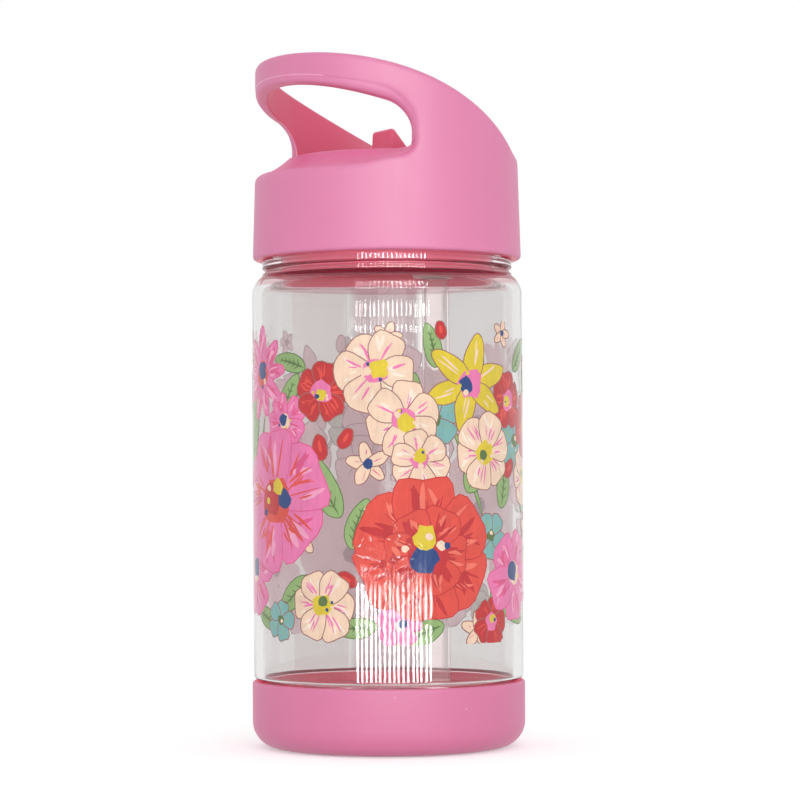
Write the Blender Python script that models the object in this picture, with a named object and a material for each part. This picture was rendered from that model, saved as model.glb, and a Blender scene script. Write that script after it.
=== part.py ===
"""Kids' straw cup: a clear screw-neck bottle in a base cup, under a hooded lid with a folding spout and a straw.

The cup stands on Z = 0 with its axis on Z. The drinking side faces -Y and the carrying window faces +Y.
"""

import math

import bmesh
import bpy
from mathutils import Matrix

MM = 0.001
GAP = 0.3 * MM  # between pieces that touch
CUT = 2.0 * MM  # how far a cutter passes the wall that it cuts, and how far joined shapes overlap
TINY = 1e-6
AXIS_MARK = 10 * MM  # how large an axis is drawn
ROUND = 64  # sides of the large turned pieces
SMALL_ROUND = 28  # sides of the small ones
ARC_STEPS = 5

# Base cup
BASE_PROUD = 0.4 * MM  # of the bottle's side
BASE_H = 17.2 * MM
BASE_CORNER_R = 6.8 * MM
BASE_WALL = 2.1 * MM
BASE_FLOOR = 2.5 * MM
BASE_RECESS = 0.8 * MM
STANDING_RING = 3.2 * MM
BASE_EDGE = 0.6 * MM

# Bottle
BOTTLE_R = 35.0 * MM
BOTTLE_WALL = 2.5 * MM
PUSH_UP = 9.7 * MM  # of the floor above the foot ring
SWELL_H = 2.3 * MM  # from the base cup's rim to the full radius
SIDE_H = 99.7 * MM  # from the base cup's rim to the shoulder
SHOULDER_R = 6.1 * MM
SHOULDER_SWEEP = math.radians(64)
NECK_STEP = 7.0 * MM  # from the bottle's side in to the bore
NECK_WALL = 1.9 * MM
GROOVE_STEP = 3.8 * MM  # from the bottle's side in to the groove
GROOVE_H = 1.5 * MM
BEAD_STEP = 2.6 * MM  # and to the bead
BEAD_H = 2.0 * MM
NECK_H = 12.8 * MM  # from the lid's lower edge to the neck's top

# Screw thread
PITCH = 4.0 * MM
THREAD_H = 1.3 * MM
THREAD_ROOT = 1.6 * MM
THREAD_CREST = 0.8 * MM
THREAD_GAP = 0.4 * MM
NECK_TURNS = 1.25
LID_TURNS = 0.75
LID_THREAD_START = 0.5  # in turns past the neck thread's start
THREAD_SINK = 0.6 * MM
THREAD_TAPER = 0.1  # in turns, at each end
THREAD_FOOT = 3.2 * MM  # of the neck thread's start above the lid's lower edge

# Lid
SKIRT_WALL = 3.2 * MM
HOOD_TAPER = 0.9 * MM  # from the skirt's foot in to the hood
HOOD_WALL = 3.2 * MM
SKIRT_EDGE = 0.8 * MM
GASKET_H = 1.8 * MM
GASKET_W = 3.4 * MM
DECK_T = 2.2 * MM
LEDGE_H = 9.0 * MM  # of the lid's top ledge above the deck
LEDGE_W = 5.8 * MM  # from the hood in to the spout's well
RIM_FRONT_H = 8.8 * MM  # of the rim above the deck at the drinking side
RIM_BACK_H = 33.2 * MM  # and at the window side
RIM_R = 121.5 * MM
RIM_FLAT_DEPTH = 9.9 * MM  # of the rim's level front, back to where its sweep starts
WINDOW_DEPTH = 22.7 * MM  # from the hood's back to the window's front end
WINDOW_SILL_H = 9.2 * MM  # of the window's foot above the deck
WINDOW_HEAD_H = 18.1 * MM  # and of its head at its front end
WINDOW_HEAD_SLOPE = 0.31
WINDOW_HEAD_FILLET = 6.0 * MM
WINDOW_SILL_FILLET = 2.0 * MM
SILL_DROP = 4.8 * MM  # of the sill's outer edge below the ledge's inner edge
SILL_SAG = 0.5 * MM  # of the sill's middle below a straight slope
SILL_SIDES = 12  # of the hood's sides, each way from the back, that the sloping sill spans

# Spout
HINGE_Y = -15.0 * MM
HINGE_H = 6.4 * MM  # above the deck
BARREL_R = 5.6 * MM
SPOUT_HALF_W = 6.1 * MM
SPOUT_LENGTH = 16.3 * MM  # from the hinge axis to the mouth
SPOUT_HALF_H = 4.5 * MM
SPOUT_LIP_H = 10.4 * MM  # above the hinge axis
SPOUT_LIP_T = 1.1 * MM
SPOUT_EDGE = 1.2 * MM
CHANNEL_R = 2.3 * MM
TRUNNION_R = 2.0 * MM
CHEEK_R = 4.5 * MM
CHEEK_T = 2.4 * MM
BOSS_R = 6.3 * MM
BOSS_H = 1.2 * MM
SEAL_R = 4.6 * MM
SEAL_FLOOR = 0.9 * MM  # of the deck left under the seal

# Straw
STRAW_R = 3.6 * MM
STRAW_WALL = 0.7 * MM
STRAW_LIFT = 1.5 * MM  # of the straw's foot above the bottle's floor
SPIGOT_R = 4.0 * MM
SPIGOT_H = 8.4 * MM
SLEEVE_WALL = 1.3 * MM
SLEEVE_GRIP = 5.4 * MM  # of the sleeve below the spigot
SLEEVE_TOP_GAP = 0.5 * MM

# Air valve
VALVE_X = 14.0 * MM
VALVE_Y = 8.0 * MM
VALVE_STEM_R = 1.3 * MM
VALVE_CAP_R = 4.0 * MM
VALVE_CAP_T = 1.1 * MM
VALVE_BARB_R = 2.3 * MM
VALVE_BARB_H = 1.8 * MM

# Heights that follow from the sizes above
FOOT_Z = BASE_FLOOR + GAP
FLOOR_UNDER_Z = FOOT_Z + PUSH_UP
FLOOR_Z = FLOOR_UNDER_Z + BOTTLE_WALL
SHOULDER_Z = BASE_H + SIDE_H
GROOVE_Z = SHOULDER_Z + SHOULDER_R * math.sin(SHOULDER_SWEEP)
BEAD_Z = GROOVE_Z + GROOVE_H
SKIRT_Z = BEAD_Z + BEAD_H + GAP
NECK_TOP_Z = SKIRT_Z + NECK_H
GASKET_Z = NECK_TOP_Z + GAP
DECK_Z = GASKET_Z + GASKET_H + GAP
DECK_TOP_Z = DECK_Z + DECK_T
LEDGE_Z = DECK_TOP_Z + LEDGE_H
HINGE_Z = DECK_TOP_Z + HINGE_H
SPIGOT_Z = DECK_Z - SPIGOT_H

# Radii that follow, and places that follow from them
BASE_R = BOTTLE_R + BASE_PROUD
BORE_R = BOTTLE_R - NECK_STEP
GROOVE_R = BOTTLE_R - GROOVE_STEP
BEAD_R = BOTTLE_R - BEAD_STEP
FOOT_R = BASE_R - BASE_WALL - GAP
NECK_R = BORE_R + NECK_WALL
NECK_THREAD_R = NECK_R + THREAD_H
SKIRT_IN_R = NECK_THREAD_R + THREAD_GAP
LID_THREAD_R = NECK_R + THREAD_GAP
LID_R = SKIRT_IN_R + SKIRT_WALL
HOOD_R = LID_R - HOOD_TAPER
HOOD_IN_R = HOOD_R - HOOD_WALL
WELL_R = HOOD_IN_R - LEDGE_W
RIM_FLAT_Y = RIM_FLAT_DEPTH - HOOD_R
WINDOW_Y = HOOD_R - WINDOW_DEPTH

PINK = (0.80, 0.25, 0.46)
CLEAR = (0.86, 0.86, 0.86)


def arc(centre_r, centre_z, radius, start, end, steps=ARC_STEPS):
    """Points of an arc in the (radius, height) plane, from one angle to another."""
    angles = [start + (end - start) * k / steps for k in range(steps + 1)]
    return [(centre_r + radius * math.cos(a), centre_z + radius * math.sin(a)) for a in angles]


def filleted(corners, steps=ARC_STEPS):
    """An outline from (u, v, fillet radius) corners, each rounded by an arc that touches both of its sides."""
    outline = []
    for k, (u, v, radius) in enumerate(corners):
        if radius <= TINY:
            outline.append((u, v))
            continue
        before, after = corners[k - 1], corners[(k + 1) % len(corners)]
        into = math.atan2(before[1] - v, before[0] - u)
        out = math.atan2(after[1] - v, after[0] - u)
        half = math.remainder(out - into, math.tau) / 2
        reach = radius / math.sin(abs(half))
        centre_u = u + reach * math.cos(into + half)
        centre_v = v + reach * math.sin(into + half)
        turn = math.copysign(math.pi / 2 - abs(half), half)
        middle = into + half + math.pi
        outline += arc(centre_u, centre_v, radius, middle + turn, middle - turn, steps)
    return outline


def material(name, colour, roughness, transmission=0.0):
    made = bpy.data.materials.new(name)
    made.use_nodes = True
    shader = made.node_tree.nodes["Principled BSDF"]
    shader.inputs["Base Color"].default_value = (*colour, 1.0)
    shader.inputs["Roughness"].default_value = roughness
    shader.inputs["Transmission Weight"].default_value = transmission
    made.diffuse_color = (*colour, 1.0 - 0.6 * transmission)
    return made


def new_object(name, bm, look, parent, origin=(0.0, 0.0, 0.0)):
    """An object whose mesh is in world coordinates and whose origin lies at the point given."""
    bmesh.ops.recalc_face_normals(bm, faces=bm.faces)
    bm.transform(Matrix.Translation([-value for value in origin]))
    mesh = bpy.data.meshes.new(name)
    bm.to_mesh(mesh)
    bm.free()
    mesh.shade_smooth()
    mesh.set_sharp_from_angle(angle=math.radians(35))
    made = bpy.data.objects.new(name, mesh)
    bpy.context.scene.collection.objects.link(made)
    made.parent = parent
    made.location = [at - base for at, base in zip(origin, parent.matrix_world.translation)]
    if look is None:
        made.hide_render = True
        made.display_type = "WIRE"
    else:
        mesh.materials.append(look)
    return made


def new_axis(name, location, parent=None):
    """An empty that marks a joint's axis or the cup's origin."""
    made = bpy.data.objects.new(name, None)
    made.empty_display_size = AXIS_MARK
    made.parent = parent
    base = parent.matrix_world.translation if parent else (0.0, 0.0, 0.0)
    made.location = [at - under for at, under in zip(location, base)]
    bpy.context.scene.collection.objects.link(made)
    bpy.context.view_layer.update()
    return made


def turned(profile, sides=ROUND, closed=False):
    """A solid turned about Z from (radius, height) points, which start and end on the axis or form a loop."""
    bm = bmesh.new()
    rings = []
    for radius, height in profile:
        count = 1 if radius < TINY else sides
        angles = [math.tau * k / sides for k in range(count)]
        rings.append([bm.verts.new((radius * math.cos(a), radius * math.sin(a), height)) for a in angles])
    for low, high in zip(rings, rings[1:] + (rings[:1] if closed else [])):
        for k in range(sides):
            after = (k + 1) % sides
            corners = (low[k % len(low)], low[after % len(low)], high[after % len(high)], high[k % len(high)])
            bm.faces.new(list(dict.fromkeys(corners)))
    return bm


def rod(radius, low, high, sides=SMALL_ROUND):
    return turned([(0, low), (radius, low), (radius, high), (0, high)], sides)


def tube(outer, inner, low, high, sides=SMALL_ROUND):
    return turned([(inner, low), (outer, low), (outer, high), (inner, high)], sides, closed=True)


def moved(bm, x=0.0, y=0.0, z=0.0):
    bm.transform(Matrix.Translation((x, y, z)))
    return bm


def laid_along_x(bm, y, z):
    """Turns a solid's Z axis to X and moves it to the height and depth given."""
    bm.transform(Matrix.Rotation(math.pi / 2, 4, "Y"))
    return moved(bm, 0.0, y, z)


def prism(outline, low, high):
    """A (Y, Z) outline extruded along X."""
    bm = bmesh.new()
    near = [bm.verts.new((low, y, z)) for y, z in outline]
    far = [bm.verts.new((high, y, z)) for y, z in outline]
    bm.faces.new(near)
    bm.faces.new(list(reversed(far)))
    for k in range(len(outline)):
        after = (k + 1) % len(outline)
        bm.faces.new((near[k], near[after], far[after], far[k]))
    return bm


def swept(sections):
    """A closed solid through sections with the same number of points, capped at both ends."""
    bm = bmesh.new()
    rings = [[bm.verts.new(point) for point in section] for section in sections]
    bm.faces.new(rings[0])
    bm.faces.new(list(reversed(rings[-1])))
    for low, high in zip(rings, rings[1:]):
        for k in range(len(low)):
            after = (k + 1) % len(low)
            bm.faces.new((low[k], low[after], high[after], high[k]))
    return bm


def at_angle(radius, angle, height):
    return (radius * math.cos(angle), radius * math.sin(angle), height)


def thread(root_r, crest_r, start_turn, turns, start_z):
    """A right-hand thread ridge whose ends fade into the wall. Its middle passes start_z at turn 0."""
    steps = round(turns * ROUND)
    sections = []
    for k in range(steps + 1):
        turn = turns * k / steps
        fade = min(1.0, (turn + THREAD_TAPER / 4) / THREAD_TAPER, (turns - turn + THREAD_TAPER / 4) / THREAD_TAPER)
        angle = math.tau * (start_turn + turn + 0.5 / ROUND)
        middle = start_z + PITCH * (start_turn + turn)
        crest = root_r + (crest_r - root_r) * fade
        sections.append(
            [
                at_angle(root_r, angle, middle - THREAD_ROOT / 2),
                at_angle(crest, angle, middle - THREAD_CREST / 2),
                at_angle(crest, angle, middle + THREAD_CREST / 2),
                at_angle(root_r, angle, middle + THREAD_ROOT / 2),
            ]
        )
    return swept(sections)


def boolean(target, helper, operation):
    step = target.modifiers.new(helper.name, "BOOLEAN")
    step.object = helper
    step.operation = operation
    step.solver = "EXACT"


def join(target, name, bm, parent):
    boolean(target, new_object(name, bm, None, parent), "UNION")


def cut(target, name, bm, parent):
    boolean(target, new_object(name, bm, None, parent), "DIFFERENCE")


def rim_centre():
    """The centre of the rim's sweep, which passes through its back and the end of its level front."""
    back_y, back_z = HOOD_R, DECK_TOP_Z + RIM_BACK_H
    front_y, front_z = RIM_FLAT_Y, DECK_TOP_Z + RIM_FRONT_H
    half_y, half_z = (back_y - front_y) / 2, (back_z - front_z) / 2
    half = math.hypot(half_y, half_z)
    drop = math.sqrt(RIM_R**2 - half**2) / half
    return front_y + half_y + half_z * drop, front_z + half_z - half_y * drop


def build_base_cup(look, root):
    floor_in_r = BASE_R - BASE_CORNER_R
    ring_in_r = floor_in_r - STANDING_RING
    inner_r = BASE_R - BASE_WALL
    inner_corner = BASE_CORNER_R - BASE_WALL
    profile = [(0, BASE_RECESS), (ring_in_r - BASE_RECESS, BASE_RECESS), (ring_in_r, 0)]
    profile += arc(floor_in_r, BASE_CORNER_R, BASE_CORNER_R, -math.pi / 2, 0, 6)
    profile += [(BASE_R, BASE_H - BASE_EDGE), (BASE_R - BASE_EDGE, BASE_H), (inner_r, BASE_H)]
    profile += arc(inner_r - inner_corner, BASE_FLOOR + inner_corner, inner_corner, 0, -math.pi / 2)
    profile += [(0, BASE_FLOOR)]
    new_object("base_cup", turned(profile), look, root)


def build_bottle(look, root):
    """The bottle: foot ring and raised floor, side, shoulder, groove, bead and threaded neck."""
    corner = BASE_CORNER_R - BASE_WALL - GAP
    foot_in_r = FOOT_R - BOTTLE_WALL
    inner_r = BOTTLE_R - BOTTLE_WALL
    swell_z = BASE_H + GAP
    profile = [(0, FLOOR_UNDER_Z), (foot_in_r - BOTTLE_WALL, FLOOR_UNDER_Z)]
    profile += [(foot_in_r, FLOOR_UNDER_Z - BOTTLE_WALL), (foot_in_r, FOOT_Z + corner)]
    profile += [(FOOT_R - corner - STANDING_RING / 2, FOOT_Z)]
    profile += arc(FOOT_R - corner, FOOT_Z + corner, corner, -math.pi / 2, 0, 4)
    swell_r, swell_h = BOTTLE_R - FOOT_R, SWELL_H - GAP
    for angle in (0.0, math.pi / 6, math.pi / 3, math.pi / 2):
        profile += [(FOOT_R + swell_r * math.sin(angle), swell_z + swell_h * (1 - math.cos(angle)))]
    profile += arc(BOTTLE_R - SHOULDER_R, SHOULDER_Z, SHOULDER_R, 0, SHOULDER_SWEEP)
    profile += [(GROOVE_R, GROOVE_Z + GROOVE_H / 2), (GROOVE_R, BEAD_Z - GROOVE_H / 4)]
    bead_top_z = BEAD_Z + BEAD_H
    profile += [(BEAD_R, BEAD_Z + BEAD_H / 4), (BEAD_R, bead_top_z - BEAD_H / 4)]
    profile += [(BEAD_R - BEAD_H / 4, bead_top_z), (NECK_R, bead_top_z)]
    profile += [(NECK_R, NECK_TOP_Z - SKIRT_EDGE), (NECK_R - SKIRT_EDGE, NECK_TOP_Z)]
    profile += [(BORE_R, NECK_TOP_Z), (BORE_R, SHOULDER_Z + SHOULDER_R - BOTTLE_WALL)]
    profile += [(BORE_R + (inner_r - BORE_R) * 0.3, SHOULDER_Z + BOTTLE_WALL / 2)]
    profile += [(BORE_R + (inner_r - BORE_R) * 0.8, SHOULDER_Z - BOTTLE_WALL / 4)]
    profile += [(inner_r, SHOULDER_Z - BOTTLE_WALL), (inner_r, BASE_H + SWELL_H + BOTTLE_WALL)]
    profile += arc(foot_in_r - corner, FLOOR_Z + corner, corner, 0, -math.pi / 2)
    profile += [(0, FLOOR_Z)]
    bottle = new_object("bottle_body", turned(profile), look, root)
    ridge = thread(NECK_R - THREAD_SINK, NECK_THREAD_R, 0.0, NECK_TURNS, SKIRT_Z + THREAD_FOOT)
    join(bottle, "neck_thread", ridge, root)


def lid_blank():
    """The lid before its cuts: skirt, deck, ledge round the well and hood, turned in one piece."""
    top = DECK_TOP_Z + RIM_BACK_H + CUT
    return turned(
        [
            (0, DECK_Z),
            (SKIRT_IN_R, DECK_Z),
            (SKIRT_IN_R, SKIRT_Z),
            (LID_R - SKIRT_EDGE, SKIRT_Z),
            (LID_R, SKIRT_Z + SKIRT_EDGE),
            (HOOD_R, DECK_TOP_Z + DECK_T / 2),
            (HOOD_R, top),
            (HOOD_IN_R, top),
            (HOOD_IN_R, LEDGE_Z),
            (WELL_R, LEDGE_Z),
            (WELL_R, DECK_TOP_Z),
            (0, DECK_TOP_Z),
        ]
    )


def above_rim():
    """Everything over the hood's rim, which is level in front and sweeps up to the back."""
    centre_y, centre_z = rim_centre()
    front_z, back_z = DECK_TOP_Z + RIM_FRONT_H, DECK_TOP_Z + RIM_BACK_H
    reach = LID_R + CUT
    start = math.atan2(front_z - centre_z, RIM_FLAT_Y - centre_y)
    end = math.atan2(back_z - centre_z, HOOD_R - centre_y)
    outline = [(-reach, front_z)] + arc(centre_y, centre_z, RIM_R, start, end, 20)
    outline += [(reach, back_z), (reach, back_z + 2 * CUT), (-reach, back_z + 2 * CUT)]
    return prism(outline, -reach, reach)


def window():
    """The carrying window, cut straight across the hood."""
    reach = LID_R + CUT
    sill_z = DECK_TOP_Z + WINDOW_SILL_H
    head_z = DECK_TOP_Z + WINDOW_HEAD_H
    corners = [
        (reach, sill_z, 0.0),
        (reach, head_z + WINDOW_HEAD_SLOPE * (reach - WINDOW_Y), 0.0),
        (WINDOW_Y, head_z, WINDOW_HEAD_FILLET),
        (WINDOW_Y, sill_z, WINDOW_SILL_FILLET),
    ]
    return prism(filleted(corners), -reach, reach)


def window_sill():
    """A wedge round the window's lower edge, so that the sill falls outwards from the well in a shallow hollow."""
    in_r, bend_r, out_r = WELL_R - CUT, (WELL_R + HOOD_R) / 2, LID_R + CUT
    slope = SILL_DROP / (HOOD_R - WELL_R)
    bend = 2 * SILL_SAG / (HOOD_R - WELL_R)
    bend_z = LEDGE_Z - SILL_DROP / 2 - SILL_SAG
    in_z = bend_z + (slope + bend) * (bend_r - in_r)
    out_z = bend_z - (slope - bend) * (out_r - bend_r)
    top_z = in_z + SILL_SAG
    sections = []
    for k in range(-SILL_SIDES, SILL_SIDES):
        angle = math.pi / 2 + math.tau * (k + 0.5) / ROUND
        sections.append(
            [
                at_angle(in_r, angle, in_z),
                at_angle(bend_r, angle, bend_z),
                at_angle(out_r, angle, out_z),
                at_angle(out_r, angle, top_z),
                at_angle(in_r, angle, top_z),
            ]
        )
    return swept(sections)


def build_lid(look, axis):
    lid = new_object("lid_shell", lid_blank(), look, axis)
    spigot = moved(rod(SPIGOT_R, SPIGOT_Z, DECK_Z + DECK_T / 2), y=HINGE_Y)
    join(lid, "spigot", spigot, axis)
    boss = moved(rod(BOSS_R, DECK_Z + DECK_T / 2, DECK_TOP_Z + BOSS_H), y=HINGE_Y)
    join(lid, "seal_boss", boss, axis)
    inner_x = SPOUT_HALF_W + GAP
    outer_x = inner_x + CHEEK_T
    clearance = rod(BARREL_R + GAP, -outer_x, outer_x)
    cut(lid, "barrel_clearance", laid_along_x(clearance, HINGE_Y, HINGE_Z), axis)
    for side, label in ((1, "right"), (-1, "left")):
        low, high = sorted((side * inner_x, side * outer_x))
        foot_z = DECK_Z + DECK_T / 2
        front, back = HINGE_Y - CHEEK_R, HINGE_Y + CHEEK_R
        corners = [
            (front, foot_z, 0.0),
            (back, foot_z, 0.0),
            (back, HINGE_Z + CHEEK_R, CHEEK_R * 0.98),
            (front, HINGE_Z + CHEEK_R, CHEEK_R * 0.98),
        ]
        join(lid, f"{label}_cheek", prism(filleted(corners), low, high), axis)
    start_z = SKIRT_Z + THREAD_FOOT - PITCH / 2
    join(lid, "lid_thread", thread(SKIRT_IN_R + THREAD_SINK, LID_THREAD_R, LID_THREAD_START, LID_TURNS, start_z), axis)
    cut(lid, "above_rim", above_rim(), axis)
    cut(lid, "window", window(), axis)
    cut(lid, "window_sill", window_sill(), axis)
    holes = rod(TRUNNION_R + GAP, -outer_x - CUT, outer_x + CUT)
    cut(lid, "trunnion_holes", laid_along_x(holes, HINGE_Y, HINGE_Z), axis)
    pocket = rod(SEAL_R + GAP, DECK_Z + SEAL_FLOOR, HINGE_Z)
    cut(lid, "seal_pocket", moved(pocket, y=HINGE_Y), axis)
    drink = rod(CHANNEL_R, SPIGOT_Z - CUT, HINGE_Z)
    cut(lid, "drink_bore", moved(drink, y=HINGE_Y), axis)
    air = rod(VALVE_STEM_R + GAP, DECK_Z - CUT, DECK_TOP_Z + CUT)
    cut(lid, "air_hole", moved(air, VALVE_X, VALVE_Y), axis)


def build_gasket(look, axis):
    outer = GASKET_W + BORE_R - GAP
    new_object("lid_gasket", tube(outer, BORE_R - GAP, GASKET_Z, GASKET_Z + GASKET_H, ROUND), look, axis)


def build_seal(look, axis):
    """The soft seat under the spout's barrel, with a saddle that follows it."""
    low = DECK_Z + SEAL_FLOOR + GAP
    edge_z = HINGE_Z - SPOUT_HALF_H - GAP
    seal = new_object("spout_seal", moved(tube(SEAL_R, CHANNEL_R, low, edge_z), y=HINGE_Y), look, axis)
    clearance = rod(BARREL_R + GAP, -2 * SEAL_R, 2 * SEAL_R, ROUND)
    cut(seal, "saddle", laid_along_x(clearance, HINGE_Y, HINGE_Z), axis)


def build_sleeve(look, axis):
    """The soft sleeve that grips the lid's spigot above and the straw below."""
    low, high = SPIGOT_Z - SLEEVE_GRIP, DECK_Z - SLEEVE_TOP_GAP
    step = SPIGOT_Z - GAP / 2
    upper_r, lower_r = SPIGOT_R + GAP, STRAW_R + GAP
    outer = max(upper_r, lower_r) + SLEEVE_WALL
    profile = [(lower_r, low), (outer, low), (outer, high), (upper_r, high), (upper_r, step), (lower_r, step)]
    new_object("straw_sleeve", moved(turned(profile, SMALL_ROUND, closed=True), y=HINGE_Y), look, axis)


def build_straw(look, axis):
    straw = tube(STRAW_R, STRAW_R - STRAW_WALL, FLOOR_Z + STRAW_LIFT, SPIGOT_Z - GAP)
    new_object("straw", moved(straw, y=HINGE_Y), look, axis)


def build_valve(look, axis):
    """The air valve: a soft cap over the deck, its stem through it and a barb below."""
    cap_z = DECK_TOP_Z + GAP
    barb_z = DECK_Z - GAP
    profile = [
        (0, barb_z - VALVE_BARB_H),
        (VALVE_STEM_R, barb_z - VALVE_BARB_H),
        (VALVE_BARB_R, barb_z),
        (VALVE_STEM_R, barb_z),
        (VALVE_STEM_R, cap_z),
        (VALVE_CAP_R, cap_z),
        (VALVE_CAP_R * 0.7, cap_z + VALVE_CAP_T),
        (0, cap_z + VALVE_CAP_T),
    ]
    new_object("air_valve", moved(turned(profile, SMALL_ROUND), VALVE_X, VALVE_Y), look, axis)


def build_spout(look, hinge):
    """The spout folded down: barrel, arm with its lifting lip, trunnions and drinking channel."""
    origin = tuple(hinge.matrix_world.translation)
    barrel = laid_along_x(rod(BARREL_R, -SPOUT_HALF_W, SPOUT_HALF_W, ROUND), HINGE_Y, HINGE_Z)
    spout = new_object("spout", barrel, look, hinge, origin)
    mouth_y = HINGE_Y + SPOUT_LENGTH
    lip_y = mouth_y - SPOUT_LIP_T
    rise = SPOUT_LIP_H - SPOUT_HALF_H
    corners = [
        (HINGE_Y, HINGE_Z - SPOUT_HALF_H, 0.0),
        (mouth_y, HINGE_Z - SPOUT_HALF_H, SPOUT_EDGE),
        (mouth_y, HINGE_Z + SPOUT_LIP_H, 0.0),
        (lip_y, HINGE_Z + SPOUT_LIP_H, 0.0),
        (lip_y - rise, HINGE_Z + SPOUT_HALF_H, 0.0),
        (HINGE_Y, HINGE_Z + SPOUT_HALF_H, 0.0),
    ]
    join(spout, "spout_arm", prism(filleted(corners), -SPOUT_HALF_W + GAP / 10, SPOUT_HALF_W - GAP / 10), hinge)
    reach = SPOUT_HALF_W + CHEEK_T
    join(spout, "trunnions", laid_along_x(rod(TRUNNION_R, -reach, reach), HINGE_Y, HINGE_Z), hinge)
    channel = rod(CHANNEL_R, -BARREL_R - CUT, SPOUT_LENGTH + CUT)
    channel.transform(Matrix.Rotation(-math.pi / 2, 4, "X"))
    cut(spout, "channel", moved(channel, 0.0, HINGE_Y, HINGE_Z), hinge)


def main():
    for old in list(bpy.data.objects):
        bpy.data.objects.remove(old)
    pink = material("pink_plastic", PINK, 0.38)
    clear = material("clear_plastic", CLEAR, 0.05, 1.0)
    silicone = material("white_silicone", (0.85, 0.85, 0.83), 0.55, 0.3)
    straw_plastic = material("straw_plastic", (0.85, 0.85, 0.86), 0.3, 0.7)

    root = new_axis("cup_origin", (0.0, 0.0, 0.0))
    lift_axis = new_axis("lid_lift_axis", (0.0, 0.0, SKIRT_Z), root)
    lid_axis = new_axis("lid_turn_axis", (0.0, 0.0, SKIRT_Z), lift_axis)
    hinge = new_axis("spout_hinge_axis", (0.0, HINGE_Y, HINGE_Z), lid_axis)

    build_base_cup(pink, root)
    build_bottle(clear, root)
    build_gasket(silicone, lift_axis)
    build_lid(pink, lid_axis)
    build_seal(silicone, lid_axis)
    build_sleeve(silicone, lid_axis)
    build_straw(straw_plastic, lid_axis)
    build_valve(silicone, lid_axis)
    build_spout(pink, hinge)


main()
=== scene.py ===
"""Looks of the kids' straw cup: a clear printed bottle in a pink base cup, under a hooded lid with a folding spout.

Lengths in the builders are in millimetres and are scaled once, when a mesh is made. The carrying window faces +Y.
"""

import math
import random
from collections import namedtuple

import bmesh
import bpy
import numpy as np
from mathutils import Matrix, Vector
from mathutils.geometry import delaunay_2d_cdt
from mathutils.kdtree import KDTree


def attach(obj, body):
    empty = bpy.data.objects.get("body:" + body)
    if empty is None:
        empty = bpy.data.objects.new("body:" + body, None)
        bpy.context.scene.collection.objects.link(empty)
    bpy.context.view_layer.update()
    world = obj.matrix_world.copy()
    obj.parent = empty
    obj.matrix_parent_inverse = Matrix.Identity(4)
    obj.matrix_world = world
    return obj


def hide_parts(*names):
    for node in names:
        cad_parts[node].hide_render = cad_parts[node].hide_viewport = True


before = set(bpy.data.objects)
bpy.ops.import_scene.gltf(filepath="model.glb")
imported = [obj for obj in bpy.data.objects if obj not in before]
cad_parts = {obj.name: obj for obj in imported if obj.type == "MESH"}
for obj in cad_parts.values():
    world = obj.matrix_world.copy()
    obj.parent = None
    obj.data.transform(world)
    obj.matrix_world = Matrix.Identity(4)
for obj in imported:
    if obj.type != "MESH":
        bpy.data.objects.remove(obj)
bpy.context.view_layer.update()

MM = 0.001
TAU = math.tau
SHARP = math.radians(32)

# Sizes shared with the solids, in millimetres
BASE_R, BASE_H, BASE_CORNER, BASE_WALL, BASE_FLOOR = 35.4, 17.2, 6.8, 2.1, 2.5
BOTTLE_R, BOTTLE_WALL = 35.0, 2.5
FOOT_R, FOOT_Z, FLOOR_UNDER_Z, FLOOR_Z = 33.0, 2.8, 12.5, 15.0
SHOULDER_Z, SHOULDER_R, SHOULDER_SWEEP = 116.9, 6.1, 64
GROOVE_R, GROOVE_Z, BEAD_R, BEAD_Z, BEAD_TOP_Z = 31.2, 122.38, 32.4, 123.88, 125.88
BORE_R, NECK_R, NECK_TOP_Z = 28.0, 29.9, 138.98
SKIRT_Z, SKIRT_R, SKIRT_IN_R = 126.18, 34.8, 31.6
DECK_Z, DECK_TOP_Z = 141.38, 143.58
PLUG_R, PLUG_IN_R, PLUG_Z = 27.5, 26.2, 121.7
HOOD_R, HOOD_IN_R = 34.0, 30.8
RIM_R, RIM_Y, RIM_Z, RIM_LEVEL = 121.5, 51.3, 56.6, 152.4
WELL_R, LEDGE_Z = 25.0, 152.5
HINGE_Y, HINGE_Z = -15.0, 149.98
BARREL_R, SPOUT_HALF_W, PIN_R = 5.6, 6.1, 2.0
SADDLE_R, CHANNEL_R = BARREL_R + 0.3, 2.3
SPIGOT_Z, PITCH = 132.98, 4.0
GASKET_Z, GASKET_TOP_Z = 139.28, 141.08
SEAT_R, SEAT_Z, SEAT_TOP_Z = 4.6, 142.58, 145.18
SLEEVE_R, SLEEVE_IN_R = 5.6, 3.9
STRAW_R, STRAW_IN_R, STRAW_Z, STRAW_TOP_Z = 3.6, 2.9, 16.5, 132.68
VALVE_X, VALVE_Y, VALVE_STEM_R = 14.0, 8.0, 1.3

# Extra rings, which break up the wide floors and the long walls
FLOOR_RING_R, WALL_RINGS = 14.0, (40.0, 62.0, 84.0, 104.0, SHOULDER_Z - 0.6)

# The camera's place, in degrees from +X and in metres
CAMERA_TURN, CAMERA_DISTANCE, CAMERA_HEIGHT, CAMERA_ROLL = 148.8, 0.708, 0.0683, -0.277


# Outlines


def clamped(value):
    """The value, kept between 0 and 1."""
    return min(1.0, max(0.0, value))


def spread(start, end, count):
    """Evenly spaced numbers from start to end, without the last one."""
    return [start + (end - start) * k / count for k in range(count)]


def arc(centre_u, centre_v, radius, start, end, steps):
    """Points of an arc, its angles in degrees."""
    turns = [math.radians(start + (end - start) * k / steps) for k in range(steps + 1)]
    return [(centre_u + radius * math.cos(a), centre_v + radius * math.sin(a)) for a in turns]


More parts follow.
